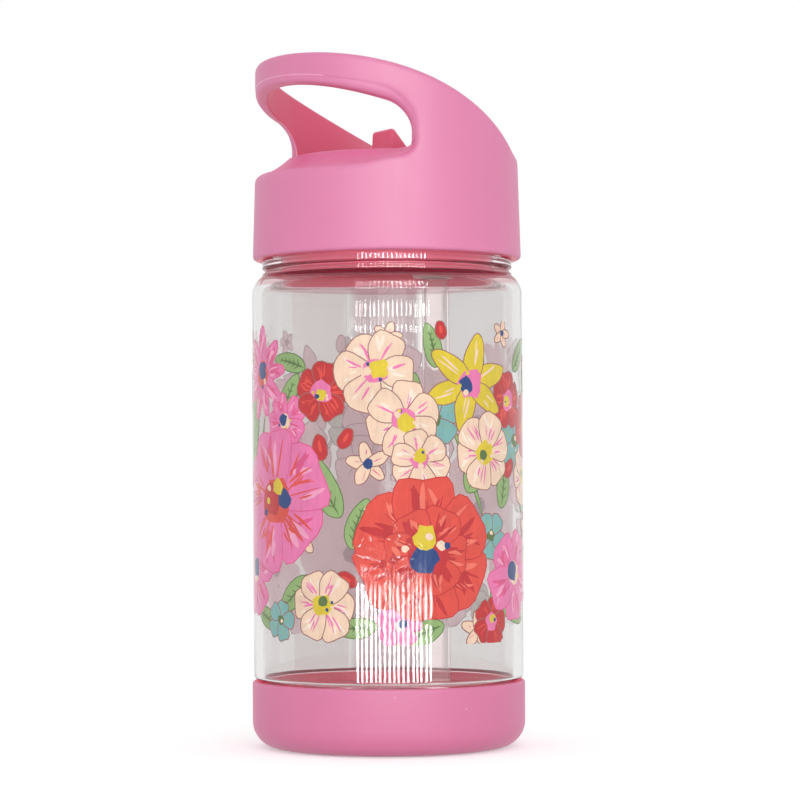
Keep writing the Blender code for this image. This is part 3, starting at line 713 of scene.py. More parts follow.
def build_small_parts(silicone, straw_look):
    low, top = GASKET_Z, GASKET_TOP_Z
    inner, outer = BORE_R - 0.3, BORE_R - 0.3 + 3.4
    ring = filleted([(inner, low, 0.4), (outer, low, 0.4), (outer, top, 0.4), (inner, top, 0.4)], 3)
    piece("neck_gasket", turned(ring, 128), [silicone], "gasket", "lid_gasket")

    low, top = SEAT_Z, SEAT_TOP_Z
    seat = filleted([(CHANNEL_R, low, 0.2), (SEAT_R, low, 0.3), (SEAT_R, top, 0.25), (CHANNEL_R, top, 0.2)], 3)
    saddle = along_hinge(rod(SADDLE_R, -9.2, 9.2, 96))
    mesh = combined(over_straw(turned(seat, 64)), [("DIFFERENCE", saddle)])
    piece("spout_seat", mesh, [silicone], "lid", "spout_seal")

    low, high, step = SPIGOT_Z - 5.4, DECK_Z - 0.5, SPIGOT_Z - 0.15
    sleeve = [(SLEEVE_IN_R, low, 0.25), (SLEEVE_R, low, 0.4), (SLEEVE_R, high, 0.4), (4.3, high, 0.25)]
    sleeve = filleted(sleeve + [(4.3, step, 0), (SLEEVE_IN_R, step, 0)], 3)
    for height in (129.4, 130.9, 132.4):
        at = next(k for k, (r, z) in enumerate(sleeve) if r > SLEEVE_R - 0.1 and z > height)
        groove = [(SLEEVE_R, -0.45), (SLEEVE_R - 0.3, -0.2), (SLEEVE_R - 0.3, 0.2), (SLEEVE_R, 0.45)]
        sleeve[at:at] = [(r, height + rise) for r, rise in groove]
    piece("straw_sleeve_grip", over_straw(turned(sleeve, 64)), [silicone], "lid", "straw_sleeve")

    low, top, outer, inner = STRAW_Z, STRAW_TOP_Z, STRAW_R, STRAW_IN_R
    pipe = [(inner, low + 0.1), (3.1, low), (3.45, low), (outer, low + 0.2), (outer, 50.0), (outer, 90.0)]
    pipe += [(outer, 132.5), (3.45, top), (3.05, top), (inner, 132.5), (inner, 90.0), (inner, 50.0)]
    piece("drinking_straw", over_straw(turned(pipe, 64)), [straw_look], "lid", "straw")

    cap = [(0, GASKET_Z), (1.0, GASKET_Z), (VALVE_STEM_R, 139.5), (2.15, 140.75), (2.3, 141.0)]
    cap += [(2.1, GASKET_TOP_Z), (VALVE_STEM_R, GASKET_TOP_Z), (VALVE_STEM_R, 143.88)]
    cap += arc(3.75, 144.13, 0.25, -90, 0, 3) + arc(3.45, 144.43, 0.55, 0, 90, 5)
    cap = turned(cap + [(1.6, 144.98), (1.2, 144.85), (0, 144.8)], 48, closed=False)
    piece("air_valve_cap", moved(cap, VALVE_X, VALVE_Y), [silicone], "lid", "air_valve")


def build_spout(look):
    """The spout folded down: barrel and arm in one, a lifting lip over the mouth, pins and the drinking channel."""
    mouth_y, top_z, half_h = HINGE_Y + 16.7, HINGE_Z + 10.3, 4.5
    outline = [(HINGE_Y, HINGE_Z - half_h, 0), (mouth_y, HINGE_Z - half_h, 1.6), (mouth_y - 0.1, top_z, 0.85)]
    outline += [(mouth_y - 1.6, top_z, 1.0), (mouth_y - 5.6, HINGE_Z + half_h, 3.0), (HINGE_Y, HINGE_Z + half_h, 0)]
    arm = slab(filleted(outline, 8), SPOUT_HALF_W - 0.04, 0.8)
    for point in arm.verts:
        lip = clamped((point.co.z - HINGE_Z - half_h + 1.0) / 6.9)
        point.co.x *= 1 - 0.27 * lip
        point.co.z -= 0.02 * lip * point.co.x**2
    barrel = along_hinge(rod(BARREL_R, -SPOUT_HALF_W, SPOUT_HALF_W, 96, 0.7))
    pins = along_hinge(rod(PIN_R, -8.5, 8.5, 48, 0.3))
    flare = [(0, -7.6), (CHANNEL_R, -7.6), (CHANNEL_R, 15.9), (2.45, 16.4), (2.8, 16.75), (3.4, 17.0), (3.4, 18.3)]
    channel = turned(flare + [(0, 18.3)], 48, closed=False)
    channel.transform(Matrix.Rotation(-math.pi / 2, 4, "X"))
    moved(channel, 0.0, HINGE_Y, HINGE_Z)
    mesh = combined(arm, [("UNION", barrel), ("UNION", pins), ("DIFFERENCE", channel)])
    piece("flip_spout", mesh, [look], "spout", "spout")


# The lid

COLUMNS = 192
HALF_ROUND = math.pi * HOOD_R
SPOTS = spread(-HALF_ROUND, HALF_ROUND, COLUMNS)
HIGHLIGHT_LINE = 0.2  # half the width of the painted highlight line on a moulded edge
GRID_STEP = 1.15  # between the rows of a wall's inner points
FLARE, FLARE_H = 0.8, 25.8  # how much wider the outside is this far below the level rim
SKIRT_ROUND, RIM_OUT, RIM_IN = 0.9, 1.9, 0.9  # the radii under the skirt and on both sides of the rim
HEAD_Z, SILL_Z, SILL_TOP_Z, HEAD_FOOT_Z = 168.8, 147.8, 152.0, 160.0
TURN_IN_R, SILL_IN_R = 33.5, HOOD_R - 1.7  # how deep in the wall the head and the sill turn in
# The window outside and inside: the head's rise and curve, half the span, and the radii at the head and the sill
OUTER_WINDOW, INNER_WINDOW = (2.4, 0.259, 42.7, 9.0, 5.0), (0.1, 0.335, 41.8, 6.5, 3.4)


def lid_radius(height):
    """The outside widens a little from the rim down to the skirt."""
    return HOOD_R + FLARE * max(0.0, (RIM_LEVEL - height) / FLARE_H)


def rim_height(y):
    """The rim: level at the drinking side, then a long sweep up to the window side."""
    sweep = RIM_Z + math.sqrt(RIM_R**2 - (y - RIM_Y) ** 2)
    return (sweep + RIM_LEVEL + math.hypot(sweep - RIM_LEVEL, 2.0)) / 2


def around(along, radius, height):
    """A point of the hood's wall, its place along the wall counted from +Y in millimetres at the hood's radius."""
    return Vector(at_angle(radius, math.pi / 2 + along / HOOD_R, height))


def corner_curve(start, corner, end, steps):
    """Points from start to end that round the corner like a circle's quarter, without the last one."""
    points = []
    for k in range(steps):
        t = k / steps
        lean_a, lean_b = start.lerp(corner, 0.55), end.lerp(corner, 0.55)
        a, b, c = start.lerp(lean_a, t), lean_a.lerp(lean_b, t), lean_b.lerp(end, t)
        points.append(a.lerp(b, t).lerp(b.lerp(c, t), t))
    return points


def window_loop(sill, head_rise, head_curve, half_span, head_corner, sill_corner):
    """The window's edge as (along, height) points, anticlockwise from the sill's left. The sill is a function."""

    def head(along):
        return HEAD_Z + head_rise - head_curve * HOOD_R * (1 - math.cos(along / HOOD_R))

    sill_end, head_end = half_span - sill_corner, half_span - head_corner
    sill_z, head_z, head_end_z = sill(sill_end), head(half_span), head(head_end)
    low, top = sill_z + sill_corner, head_z - head_corner * 0.85
    low_r, top_r, low_l, top_l = [Vector((x, z)) for x in (half_span, -half_span) for z in (low, top)]
    loop = [Vector((along, sill(along))) for along in spread(-sill_end, sill_end, 80)]
    loop += corner_curve(Vector((sill_end, sill_z)), Vector((half_span, sill_z)), low_r, 12)
    loop += [low_r.lerp(top_r, k / 4) for k in range(4)]
    loop += corner_curve(top_r, Vector((half_span, head_z)), Vector((head_end, head_end_z)), 14)
    loop += [Vector((along, head(along))) for along in spread(head_end, -head_end, 76)]
    loop += corner_curve(Vector((-head_end, head_end_z)), Vector((-half_span, head_z)), top_l, 14)
    loop += [top_l.lerp(low_l, k / 4) for k in range(4)]
    loop += corner_curve(low_l, Vector((-half_span, sill_z)), Vector((-sill_end, sill_z)), 12)
    return loop


# The hood's inside, from the well's foot over the ledge and up the wall, as (radius, height) points
LEDGE_EDGE, LEDGE_FILLET, DECK_FILLET = 0.5, 1.0, 2.0
INSIDE = [(WELL_R, DECK_TOP_Z + DECK_FILLET), (WELL_R, 148.5)]
INSIDE += rounded(WELL_R, LEDGE_Z, LEDGE_EDGE, 180, 90, 4)
INSIDE += rounded(HOOD_IN_R, LEDGE_Z, LEDGE_FILLET, -90, 0, 5)
INSIDE += [(HOOD_IN_R, 200.0)]
INSIDE_AT = [0.0]
for before, after in zip(INSIDE, INSIDE[1:]):
    INSIDE_AT.append(INSIDE_AT[-1] + math.dist(before, after))
WALL_AT, WALL_Z = INSIDE_AT[-2], INSIDE[-2][1]  # where the inside's straight wall starts
WELL_EDGE_AT = INSIDE_AT[4]


def inside(along, reach):
    """A point of the hood's inside, its reach counted along the section from the well's foot."""
    radius, height = [float(np.interp(reach, INSIDE_AT, values)) for values in zip(*INSIDE)]
    return around(along, radius, height)


def outer_sill(along):
    """The sill's outer edge, which rises a little towards the window's ends."""
    return SILL_Z + 2.2 * max(0.0, (abs(along) - 20.0) / 20.0) ** 2


def window_rows():
    """The window's surround, from the outer wall's edge over the crease and along the head or sill to the inside."""
    outer = window_loop(outer_sill, *OUTER_WINDOW)
    rise = WALL_AT - WALL_Z
    inner = window_loop(lambda along: WELL_EDGE_AT - rise, *INNER_WINDOW)
    inner = [Vector((p.x, p.y + rise)) for p in inner]
    wide, narrow = [inset([tuple(p) for p in loop], -1.0) for loop in (outer, inner)]
    rows = [[] for _ in range(16)]
    flat_outer, flat_inner, crests, lips = [], [], [], []
    for k, (edge, hole) in enumerate(zip(outer, inner)):
        soft = clamped((abs(edge.x) - 30.0) / 12.0)
        round_out = 0.4 + 1.2 * soft * soft * (3 - 2 * soft)
        away = Vector(wide[k]) - edge
        # the sill meets the wall in a round shoulder
        shoulder = (1 - soft) ** 2 * clamped((SILL_TOP_Z - edge.y) / 2.0)
        start = edge + away * (round_out + (1.9 - round_out) * shoulder)
        back = hole + (Vector(narrow[k]) - hole) * 0.5
        crease, lip = around(edge.x, lid_radius(edge.y), edge.y), inside(hole.x, hole.y)
        slope, length = (lip - crease).normalized(), (lip - crease).length
        round_out = min(round_out, length - 0.8)
        # the head's surround keeps close to the wall and turns in late, while the sill is a hollow slope
        at_head = clamped((edge.y - SILL_TOP_Z) / (HEAD_FOOT_Z - SILL_TOP_Z))
        turn = around(hole.x + (edge.x - hole.x) * 0.25, TURN_IN_R, 0.0)
        turn.z = lip.z + 0.7 + (crease.z - lip.z - 0.7) * 0.12
        bulge = (turn - (crease + lip) / 2) * at_head * 0.85 * (1 - 0.8 * soft)
        first = crease + (lip + bulge * 1.2 - crease).normalized() * round_out
        last = lip + (bulge - slope * 4).normalized() * 0.5
        if at_head == 0:
            first, last = crease + slope * round_out, lip - slope * 0.5
            first = first.lerp(around(edge.x, SILL_IN_R, edge.y + 0.05), shoulder)
        begin, end = around(start.x, lid_radius(start.y), start.y), inside(back.x, back.y)
        sag = Vector((0, 0, -1)) * max(0.0, length - 4.5) * 0.08 * (1 - at_head)
        middle = (first + last) / 2 + (sag + bulge) * 2
        line = [bezier(begin, crease, first, row / 4) for row in range(5)]
        line += [bezier(first, middle, last, row / 8) for row in range(1, 8)]
        line += [bezier(last, lip, end, row / 3) for row in range(4)]
        for row, point in zip(rows, line):
            row.append(point)
        flat_outer.append(start)
        flat_inner.append(back)
        # points for the painted highlight along the head's crest and along the lip
        if at_head == 1 and abs(edge.x) < 24:
            crests.append((*bezier(begin, crease, first, 0.5), min(1.0, (26 - abs(edge.x)) / 16)))
        if lip.z < LEDGE_Z + 1 or abs(hole.x) > 32:
            lips.append((*bezier(last, lip, end, 0.2), 1.2))
    return rows, flat_outer, flat_inner, crests + lips


def near_loop(points, loop, gap):
    """Which points are inside a closed loop, and which are inside it or closer to it than gap."""
    points, ends = np.array(points), np.array([tuple(p) for p in loop])
    nexts = np.roll(ends, -1, 0)
    inside = np.zeros(len(points), bool)
    nearest = np.full(len(points), 1e9)
    for a, b in zip(ends, nexts):
        crosses = (a[1] > points[:, 1]) != (b[1] > points[:, 1])
        if abs(b[1] - a[1]) > 1e-12:
            inside ^= crosses & (points[:, 0] < (b[0] - a[0]) * (points[:, 1] - a[1]) / (b[1] - a[1]) + a[0])
        side = b - a
        share = np.clip(((points - a) @ side) / max(side @ side, 1e-12), 0, 1)
        nearest = np.minimum(nearest, np.linalg.norm(points - a - share[:, None] * side, axis=1))
    return inside, inside | (nearest < gap)


def wall_sheet(bm, low, high, hole, place, levels):
    """A wall laid out flat, meshed round the window and wrapped into place. Returns its low, high and hole vertices."""
    spots = [*SPOTS, HALF_ROUND]
    rise = [z for z in levels if low(HALF_ROUND) + 0.3 < z < high(HALF_ROUND) - 0.3]
    points = [(s, low(s)) for s in spots] + [(HALF_ROUND, z) for z in rise]
    high_at = len(points)
    points += [(s, high(s)) for s in reversed(spots)] + [(-HALF_ROUND, z) for z in reversed(rise)]
    hole_at = len(points)
    edges = [(k, (k + 1) % hole_at) for k in range(hole_at)]
    points += [tuple(p) for p in hole]
    edges += [(hole_at + k, hole_at + (k + 1) % len(hole)) for k in range(len(hole))]
    inner = [(s, z) for s in SPOTS[1:] for z in levels if low(s) + 0.3 < z < high(s) - 0.45]
    keep = ~near_loop(inner, hole, 0.35)[1]
    points += [p for p, kept in zip(inner, keep) if kept]
    verts, _, faces, sources, _, _ = delaunay_2d_cdt([Vector(p) for p in points], edges, [], 1, 1e-6)
    centres = [tuple(sum((verts[k] for k in face), Vector((0, 0))) / len(face)) for face in faces]
    drop = near_loop(centres, hole, 0.0)[0]
    made, at = {}, {}
    for k, point in enumerate(verts):
        key = (round(-HALF_ROUND if point.x > HALF_ROUND - 1e-4 else point.x, 3), round(point.y, 3))
        if key not in made:
            made[key] = bm.verts.new(place(point.x, point.y))
        at[k] = made[key]
    for face, dropped in zip(faces, drop):
        corners = [at[k] for k in face]
        if not dropped and len(set(corners)) == len(corners):
            bm.faces.new(corners)
    from_input = {source: at[k] for k, given in enumerate(sources) for source in given}
    high_ring = [from_input[high_at + COLUMNS - k] for k in range(COLUMNS)]
    return [from_input[k] for k in range(COLUMNS)], high_ring, [from_input[hole_at + k] for k in range(len(hole))]


def grid_levels(low, high):
    return [low + GRID_STEP * k for k in range(int((high - low) / GRID_STEP) + 1)]


def ring_rows(outline):
    """Rings of the lid's own columns, from (radius, height) points."""
    return [[around(s, radius, height) for s in SPOTS] for radius, height in outline]


def lid_blank():
    """Skirt, deck and hood in one closed mesh, with the rounded rim and the window's surround."""
    bm = bmesh.new()
    rows, flat_outer, flat_inner, _ = window_rows()

    def rim_at(along, radius):
        return around(along, radius, rim_height(radius * math.cos(along / HOOD_R)))

    def outer_top(along):
        return rim_at(along, HOOD_R).z - RIM_OUT

    def inner_top(along):
        return rim_at(along, HOOD_IN_R).z - RIM_IN - WALL_Z + WALL_AT

    def outside(along, height):
        return around(along, lid_radius(height), height)

    outer_low, outer_high, outer_hole = wall_sheet(
        bm, lambda s: SKIRT_Z + SKIRT_ROUND, outer_top, flat_outer, outside, grid_levels(126, 180)
    )
    levels = sorted([*INSIDE_AT[1:-1], 1.5, 4.4, *grid_levels(WALL_AT, WALL_AT + 40)[1:]])
    inner_low, inner_high, inner_hole = wall_sheet(bm, lambda s: 0.0, inner_top, flat_inner, inside, levels)
    bridge_rows(bm, [outer_hole, *rows[1:-1], inner_hole])
    over = [[] for _ in range(7)]
    for s in SPOTS:
        begin, corner, end = around(s, HOOD_R, outer_top(s)), rim_at(s, HOOD_R), rim_at(s, HOOD_R - RIM_OUT)
        line = [bezier(begin, corner, end, row / 4) for row in range(1, 5)]
        begin, corner, end = rim_at(s, HOOD_IN_R + RIM_IN), rim_at(s, HOOD_IN_R), inside(s, inner_top(s))
        line += [bezier(begin, corner, end, row / 3) for row in range(3)]
        for row, point in zip(over, line):
            row.append(point)
    bridge_rows(bm, [outer_high, *over, inner_high])
    deck = rounded(WELL_R, DECK_TOP_Z, DECK_FILLET, 0, -90, 6)[1:]
    deck += [(18.0, DECK_TOP_Z), (10.0, DECK_TOP_Z)]
    bm.faces.new(bridge_rows(bm, [inner_low, *ring_rows(deck)])[-1])
    # under the skirt, up its inside, and down and up the plug to the deck's underside
    foot = rounded(SKIRT_R, SKIRT_Z, SKIRT_ROUND, 0, -90, 5)[1:]
    foot += rounded(SKIRT_IN_R, SKIRT_Z, 0.4, 270, 180, 3)
    foot += [(SKIRT_IN_R, z) for z in (130.0, 134.0, 138.0)]
    foot += rounded(SKIRT_IN_R, DECK_Z, 0.4, 0, 90, 3)
    foot += [(PLUG_R, DECK_Z), (PLUG_R, 132.0), *rounded(PLUG_R, PLUG_Z, 0.5, 0, -90, 3)]
    foot += [*rounded(PLUG_IN_R, PLUG_Z, 0.4, 270, 180, 3), (PLUG_IN_R, 132.0)]
    foot += rounded(PLUG_IN_R, DECK_Z, 1.0, 0, 90, 4)
    foot += [(20.0, DECK_Z), (10.0, DECK_Z)]
    bm.faces.new(bridge_rows(bm, [outer_low, *ring_rows(foot)])[-1])
    return bm


def use_highlight_look(lid):
    """The third look, a painted highlight, for the window's moulded edges."""
    points = [Vector(point) for point in window_rows()[3]]
    points += [(a + b) / 2 for a, b in zip(points, points[1:]) if (a - b).length < 3]
    edges = KDTree(len(points))
    for k, point in enumerate(points):
        edges.insert(point.xyz, k)
    edges.balance()
    for face in lid.data.polygons:
        _, k, away = edges.find(face.center / MM)
        if away < HIGHLIGHT_LINE * points[k].w:
            face.material_index = 2


def build_lid(looks):
    inner_x, outer_x = SPOUT_HALF_W + 0.3, SPOUT_HALF_W + 2.7
    foot_z, top_z = DECK_Z + 0.5, HINGE_Z + 4.5
    back, front = HINGE_Y - 4.5, HINGE_Y + 4.5
    cheek = filleted([(back, foot_z, 0), (front, foot_z, 0), (front, top_z, 4.3), (back, top_z, 4.3)], 12)
    cheeks = [slab(cheek, (outer_x - inner_x) / 2, 0.5) for _ in range(2)]
    cheeks = [moved(plate, side * (inner_x + outer_x) / 2) for plate, side in zip(cheeks, (-1, 1))]
    steps = [
        ("UNION", over_straw(rod(4.0, SPIGOT_Z, DECK_Z + 1.0, 64, 0.4))),
        ("UNION", over_straw(rod(6.3, DECK_Z + 0.7, DECK_TOP_Z + 1.2, 64, 0.4))),
        ("DIFFERENCE", along_hinge(rod(SADDLE_R, -outer_x - 0.1, outer_x + 0.1, 96))),
        *[("UNION", plate) for plate in cheeks],
        ("UNION", thread(SKIRT_IN_R + 0.6, 30.3, 0.5, 0.75, SKIRT_Z + 3.2 - PITCH / 2, COLUMNS)),
        ("DIFFERENCE", along_hinge(rod(PIN_R + 0.3, -outer_x - 2, outer_x + 2, 48))),
        ("DIFFERENCE", over_straw(rod(SEAT_R + 0.3, DECK_Z + 0.9, HINGE_Z - 1.3, 60))),
        ("DIFFERENCE", over_straw(rod(CHANNEL_R, SPIGOT_Z - 2, HINGE_Z - 4.1, 44))),
        ("DIFFERENCE", moved(rod(VALVE_STEM_R + 0.3, DECK_Z - 2, DECK_TOP_Z + 2, 32), VALVE_X, VALVE_Y)),
    ]
    lid = piece("hooded_lid", combined(lid_blank(), steps), looks, "lid", "lid_shell")
    # painted shade: the lid's inside under the deck gets the darker shaded pink
    use_inner_look(lid, lambda radius, height: radius < SKIRT_R - 1.5 and height < DECK_Z + 0.3)
    use_highlight_look(lid)


# The printed flowers

INKS = {
    "line": (152, 98, 92),
    "coral": (226, 78, 66),
    "red": (196, 46, 50),
    "pink": (236, 122, 176),
    "rose": (226, 84, 138),
    "blush": (246, 164, 198),
    "salmon": (240, 118, 100),
    "peach": (244, 212, 186),
    "cream": (250, 230, 212),
    "yellow": (224, 199, 48),
    "leaf": (146, 177, 114),
    "moss": (92, 118, 66),
    "teal": (126, 180, 178),
    "navy": (32, 66, 128),
}
LINE_OF = {"coral": "red", "pink": "rose", "leaf": "moss"}
STROKES_OF = {"coral": ("red", "salmon"), "pink": ("rose", "blush")}
STROKES_OF |= {"peach": ("cream", "peach"), "red": ("coral", "red")}
UNDERSIDES = {"warm": (248, 222, 228), "cool": (226, 228, 220), "dark": (196, 172, 182)}
UNDERSIDE_OF = {"leaf": "cool", "teal": "cool", "moss": "dark", "navy": "dark", "line": "dark"}
PRINT_OUT_R, PRINT_IN_R = 35.1, 35.05
PRINT_LOW, PRINT_HIGH, PRINT_REPEAT = 28.0, 109.0, math.pi * BOTTLE_R
SEAM = PRINT_REPEAT - 0.4  # the print's ends leave a fine gap at the back
LINE_WIDTH = 0.26
BIG = 7  # a flower with a larger radius than this has more brush marks

# The marks are counted on one petal. The inner ring is a share of the outer one, and the heart is (ink, size) pairs.
Flower = namedtuple("Flower", "petals tip breadth ink mark marks inner_ring heart")
FLOWERS = {
    "camellia": (6, -0.8, 0.6, "coral", "red", 6, 0.62, "red 0.3 navy 0.19 yellow 0.16 peach 0.07"),
    "mallow": (5, -0.9, 0.66, "pink", "coral", 8, 0.0, "coral 0.34 red 0.22 navy 0.14 yellow 0.12"),
    "cosmos": (5, -0.7, 0.58, "pink", "rose", 6, 0.0, "peach 0.26 navy 0.22"),
    "lily": (6, 0.9, 0.3, "yellow", "peach", 2, 0.0, "pink 0.3 navy 0.18 peach 0.07"),
    "blossom": (6, -0.3, 0.58, "peach", "pink", 2, 0.0, "pink 0.3 yellow 0.24 peach 0.1"),
    "anemone": (6, -0.5, 0.56, "peach", "pink", 4, 0.0, "yellow 0.3 moss 0.14 yellow 0.08"),
    "aster": (9, 0.2, 0.24, "pink", "rose", 2, 0.0, "coral 0.3 navy 0.2"),
    "primula": (5, -0.9, 0.6, "red", "coral", 5, 0.0, "pink 0.36 yellow 0.2 navy 0.08"),
    "speedwell": (5, -0.6, 0.56, "teal", "leaf", 2, 0.0, "moss 0.24 peach 0.1"),
    "starlet": (5, 0.1, 0.36, "peach", "rose", 1, 0.0, "navy 0.26"),
}

# One repeat of the print, as each kind's (place along, height, size, turn in degrees). It goes round the bottle twice.
POSIES = [
    ("stem", (-46, 52, 34, 78), (26, 60, 30, 112), (2, 62, 26, 60)),
    ("leaf", (21, 66, 20, 58), (14, 33, 14, 200), (-30, 84, 13, 70), (33, 62, 14, 75), (-54, 88, 13, 110)),
    ("leaf", (12, 97, 11, 95), (-9, 52, 13, 80), (46, 33, 10, 160), (-12, 60, 17, 122), (-19, 44, 15, 205)),
    ("leaf", (29, 41, 16, -28), (-3, 33, 12, 188), (-49, 72, 21, 82), (46, 62, 15, 20), (3, 83, 13, 62)),
    ("leaf", (-22, 97, 11, 160), (40, 97, 12, 40), (51, 40, 15, 100), (-42, 36, 12, -20)),
    ("bud", (-17, 74, 6.5, 100), (-12, 77, 5.5, 60), (52, 96, 5.5, 75), (14, 104, 4.5, 100)),
    ("speedwell", (-29, 75, 6.5, 10), (41, 79, 8.5, 20), (-31, 34, 5.5, 0)),
    ("starlet", (24, 31.5, 5, 15), (-5, 73, 5.5, 30), (-51, 103, 4.5, 5), (34, 106, 3.6, 0), (0, 104.5, 4, 0)),
    ("primula", (37, 89, 7.5, 25)),
    ("speedwell", (12, 84, 7, 30), (29, 55, 6.5, 50)),
    ("cosmos", (-29, 84, 7.5, 40)),
    ("primula", (29, 33.5, 6.5, 0)),
    ("blossom", (-51, 61, 7, 10)),
    ("anemone", (48, 70, 8, 0)),
    ("bud", (-8, 43, 5.5, 150), (35, 70, 6, 40)),
    ("cosmos", (3, 33, 6, 10)),
    ("aster", (-40, 96, 12, 8)),
    ("lily", (22, 93, 13, 20)),
    ("primula", (-17, 91, 8.5, 10)),
    ("blossom", (-3, 96, 10.5, 0), (4, 84, 9.5, 25)),
    ("anemone", (27, 76, 10, 12)),
    ("blossom", (8, 74, 8, 40)),
    ("primula", (51, 83, 9.5, 40)),
    ("cosmos", (-46, 46, 12, 16)),
    ("anemone", (-17, 38, 9.5, 0)),
    ("cosmos", (40, 45, 12.5, 60)),
    ("starlet", (52, 56, 5.5, 10), (-23, 54.5, 4.5, 20)),
    ("mallow", (-33, 64, 18.5, 100)),
    ("camellia", (10, 51, 19.5, 30)),
]


def spun(along, height, turn, out, side=0.0):
    """A point this far out and to the side of a turn from the spot (along, height)."""
    sine, cosine = math.sin(turn), math.cos(turn)
    return (along + out * cosine - side * sine, height + out * sine + side * cosine)


def petal(along, height, turn, length, width, tip, draws):
    """A petal's outline that grows from a point. It is pointed where tip is 1, round at 0 and notched at -1."""
    wave = draws.uniform(0, TAU)
    outline = []
    for a in spread(0, TAU, 20 if length > 8 else 14):
        out = 0.5 - 0.5 * math.cos(a)
        full = 0.35 + 0.65 * out if tip <= 0 else 0.8 - 0.1 * out
        side = math.copysign(abs(math.sin(a)) ** (1 + 0.5 * max(tip, 0)), math.sin(a))
        dip = 0.12 * max(-tip, 0) * math.exp(-(((a - math.pi) / 0.42) ** 2))
        u = length * (out - dip + 0.022 * out * math.sin(4 * a + wave))
        v = width * side * full * (1 + 0.07 * math.sin(3 * a + wave))
        outline.append(spun(along, height, turn, u, v))
    return outline


def streak(along, height, turn, start, end, width, bend=0.0):
    """A brush mark that tapers to both ends, counted out from a point."""
    outline = []
    for a in spread(0, TAU, 8):
        out = 0.5 - 0.5 * math.cos(a)
        side = width * math.sin(a) * (1.2 - 0.5 * out)
        outline.append(spun(along, height, turn + bend * (out - 0.5), start + (end - start) * out, side))
    return outline


def blob(along, height, radius, draws):
    """A dab of ink with an uneven edge."""
    count = 12 if radius > 1.5 else 8
    reach = [radius * draws.uniform(0.78, 1.15) for _ in range(count)]
    return [spun(along, height, a, r) for r, a in zip(reach, spread(0, TAU, count))]


def paint(shapes, ink, outline):
    """A shape with a thin line round it."""
    shapes.append((LINE_OF.get(ink, "line"), [tuple(p) for p in inset(outline, -LINE_WIDTH)]))
    shapes.append((ink, outline))


def paint_ring(shapes, draws, along, height, radius, turn, flower, reach):
    """One ring of petals in an uneven order, with brush strokes in near inks and finer marks on each petal."""
    order = list(range(flower.petals))
    draws.shuffle(order)
    for k in order:
        aim = turn + TAU * k / flower.petals + draws.uniform(-0.09, 0.09)
        length = radius * reach * draws.uniform(0.92, 1.05)
        width = length * flower.breadth * draws.uniform(0.92, 1.06)
        paint(shapes, flower.ink, petal(along, height, aim, length, width, flower.tip, draws))
        for brush in STROKES_OF.get(flower.ink, ()) * (2 if radius > BIG else 0):
            fan = aim + draws.uniform(-0.6, 0.6) * flower.breadth
            start, end = length * draws.uniform(0.3, 0.6), length * draws.uniform(0.72, 0.93)
            thick = draws.uniform(0.35, 0.75) * min(1.6, radius / 10)
            shapes.append((brush, streak(along, height, fan, start, end, thick, draws.uniform(-0.3, 0.3))))
        for _ in range(flower.marks if radius > BIG else (flower.marks + 1) // 2):
            side = draws.uniform(-0.75, 0.75)
            start, end = length * draws.uniform(0.2, 0.5), length * draws.uniform(0.6, 0.88)
            fan = aim + side * flower.breadth * 0.8
            thick = draws.uniform(0.12, 0.3) * min(1.6, radius / 9)
            shapes.append((flower.mark, streak(along, height, fan, start, end, thick, draws.uniform(-0.15, 0.15))))


def paint_flower(shapes, draws, flower, along, height, radius, turn):
    paint_ring(shapes, draws, along, height, radius, turn, flower, 1.0)
    if flower.inner_ring:
        paint_ring(shapes, draws, along, height, radius, turn + 0.5, flower, flower.inner_ring)
    heart = flower.heart.split()
    for rank, (ink, share) in enumerate(zip(heart[::2], heart[1::2])):
        spot = spun(along, height, draws.uniform(0, TAU), radius * 0.1 * min(rank, 2))
        shapes.append((ink, blob(*spot, radius * float(share), draws)))
    for _ in range(3 if radius > BIG else 0):
        spot = spun(along, height, draws.uniform(0, TAU), radius * draws.uniform(0.18, 0.32))
        dot = blob(*spot, radius * 0.05, draws)
        shapes.append((draws.choice(["navy", "yellow", "peach"]), dot))


def paint_leaf(shapes, draws, along, height, length, turn):
    """A bent leaf with a midrib and five pairs of veins."""
    bend = draws.uniform(-0.35, 0.35)
    outline = []
    for a in spread(0, TAU, 24):
        out = 0.5 - 0.5 * math.cos(a)
        side = length * 0.21 * math.copysign(abs(math.sin(a)) ** 1.25, math.sin(a)) * (1.15 - 0.4 * out)
        outline.append(spun(along, height, turn + bend * (out - 0.4), length * out, side))
    paint(shapes, "leaf", outline)
    shapes.append(("moss", streak(along, height, turn, length * 0.02, length * 0.86, 0.3, bend)))
    for k in range(5):
        out = 0.16 + 0.14 * k
        aim = turn + bend * (out - 0.4)
        base = spun(along, height, aim, length * out)
        for side in (-1, 1):
            reach = length * (0.2 - 0.022 * k) * draws.uniform(0.7, 1.0)
            shapes.append(("moss", streak(*base, aim + side * 0.62, 0.0, reach, 0.17, side * 0.2)))


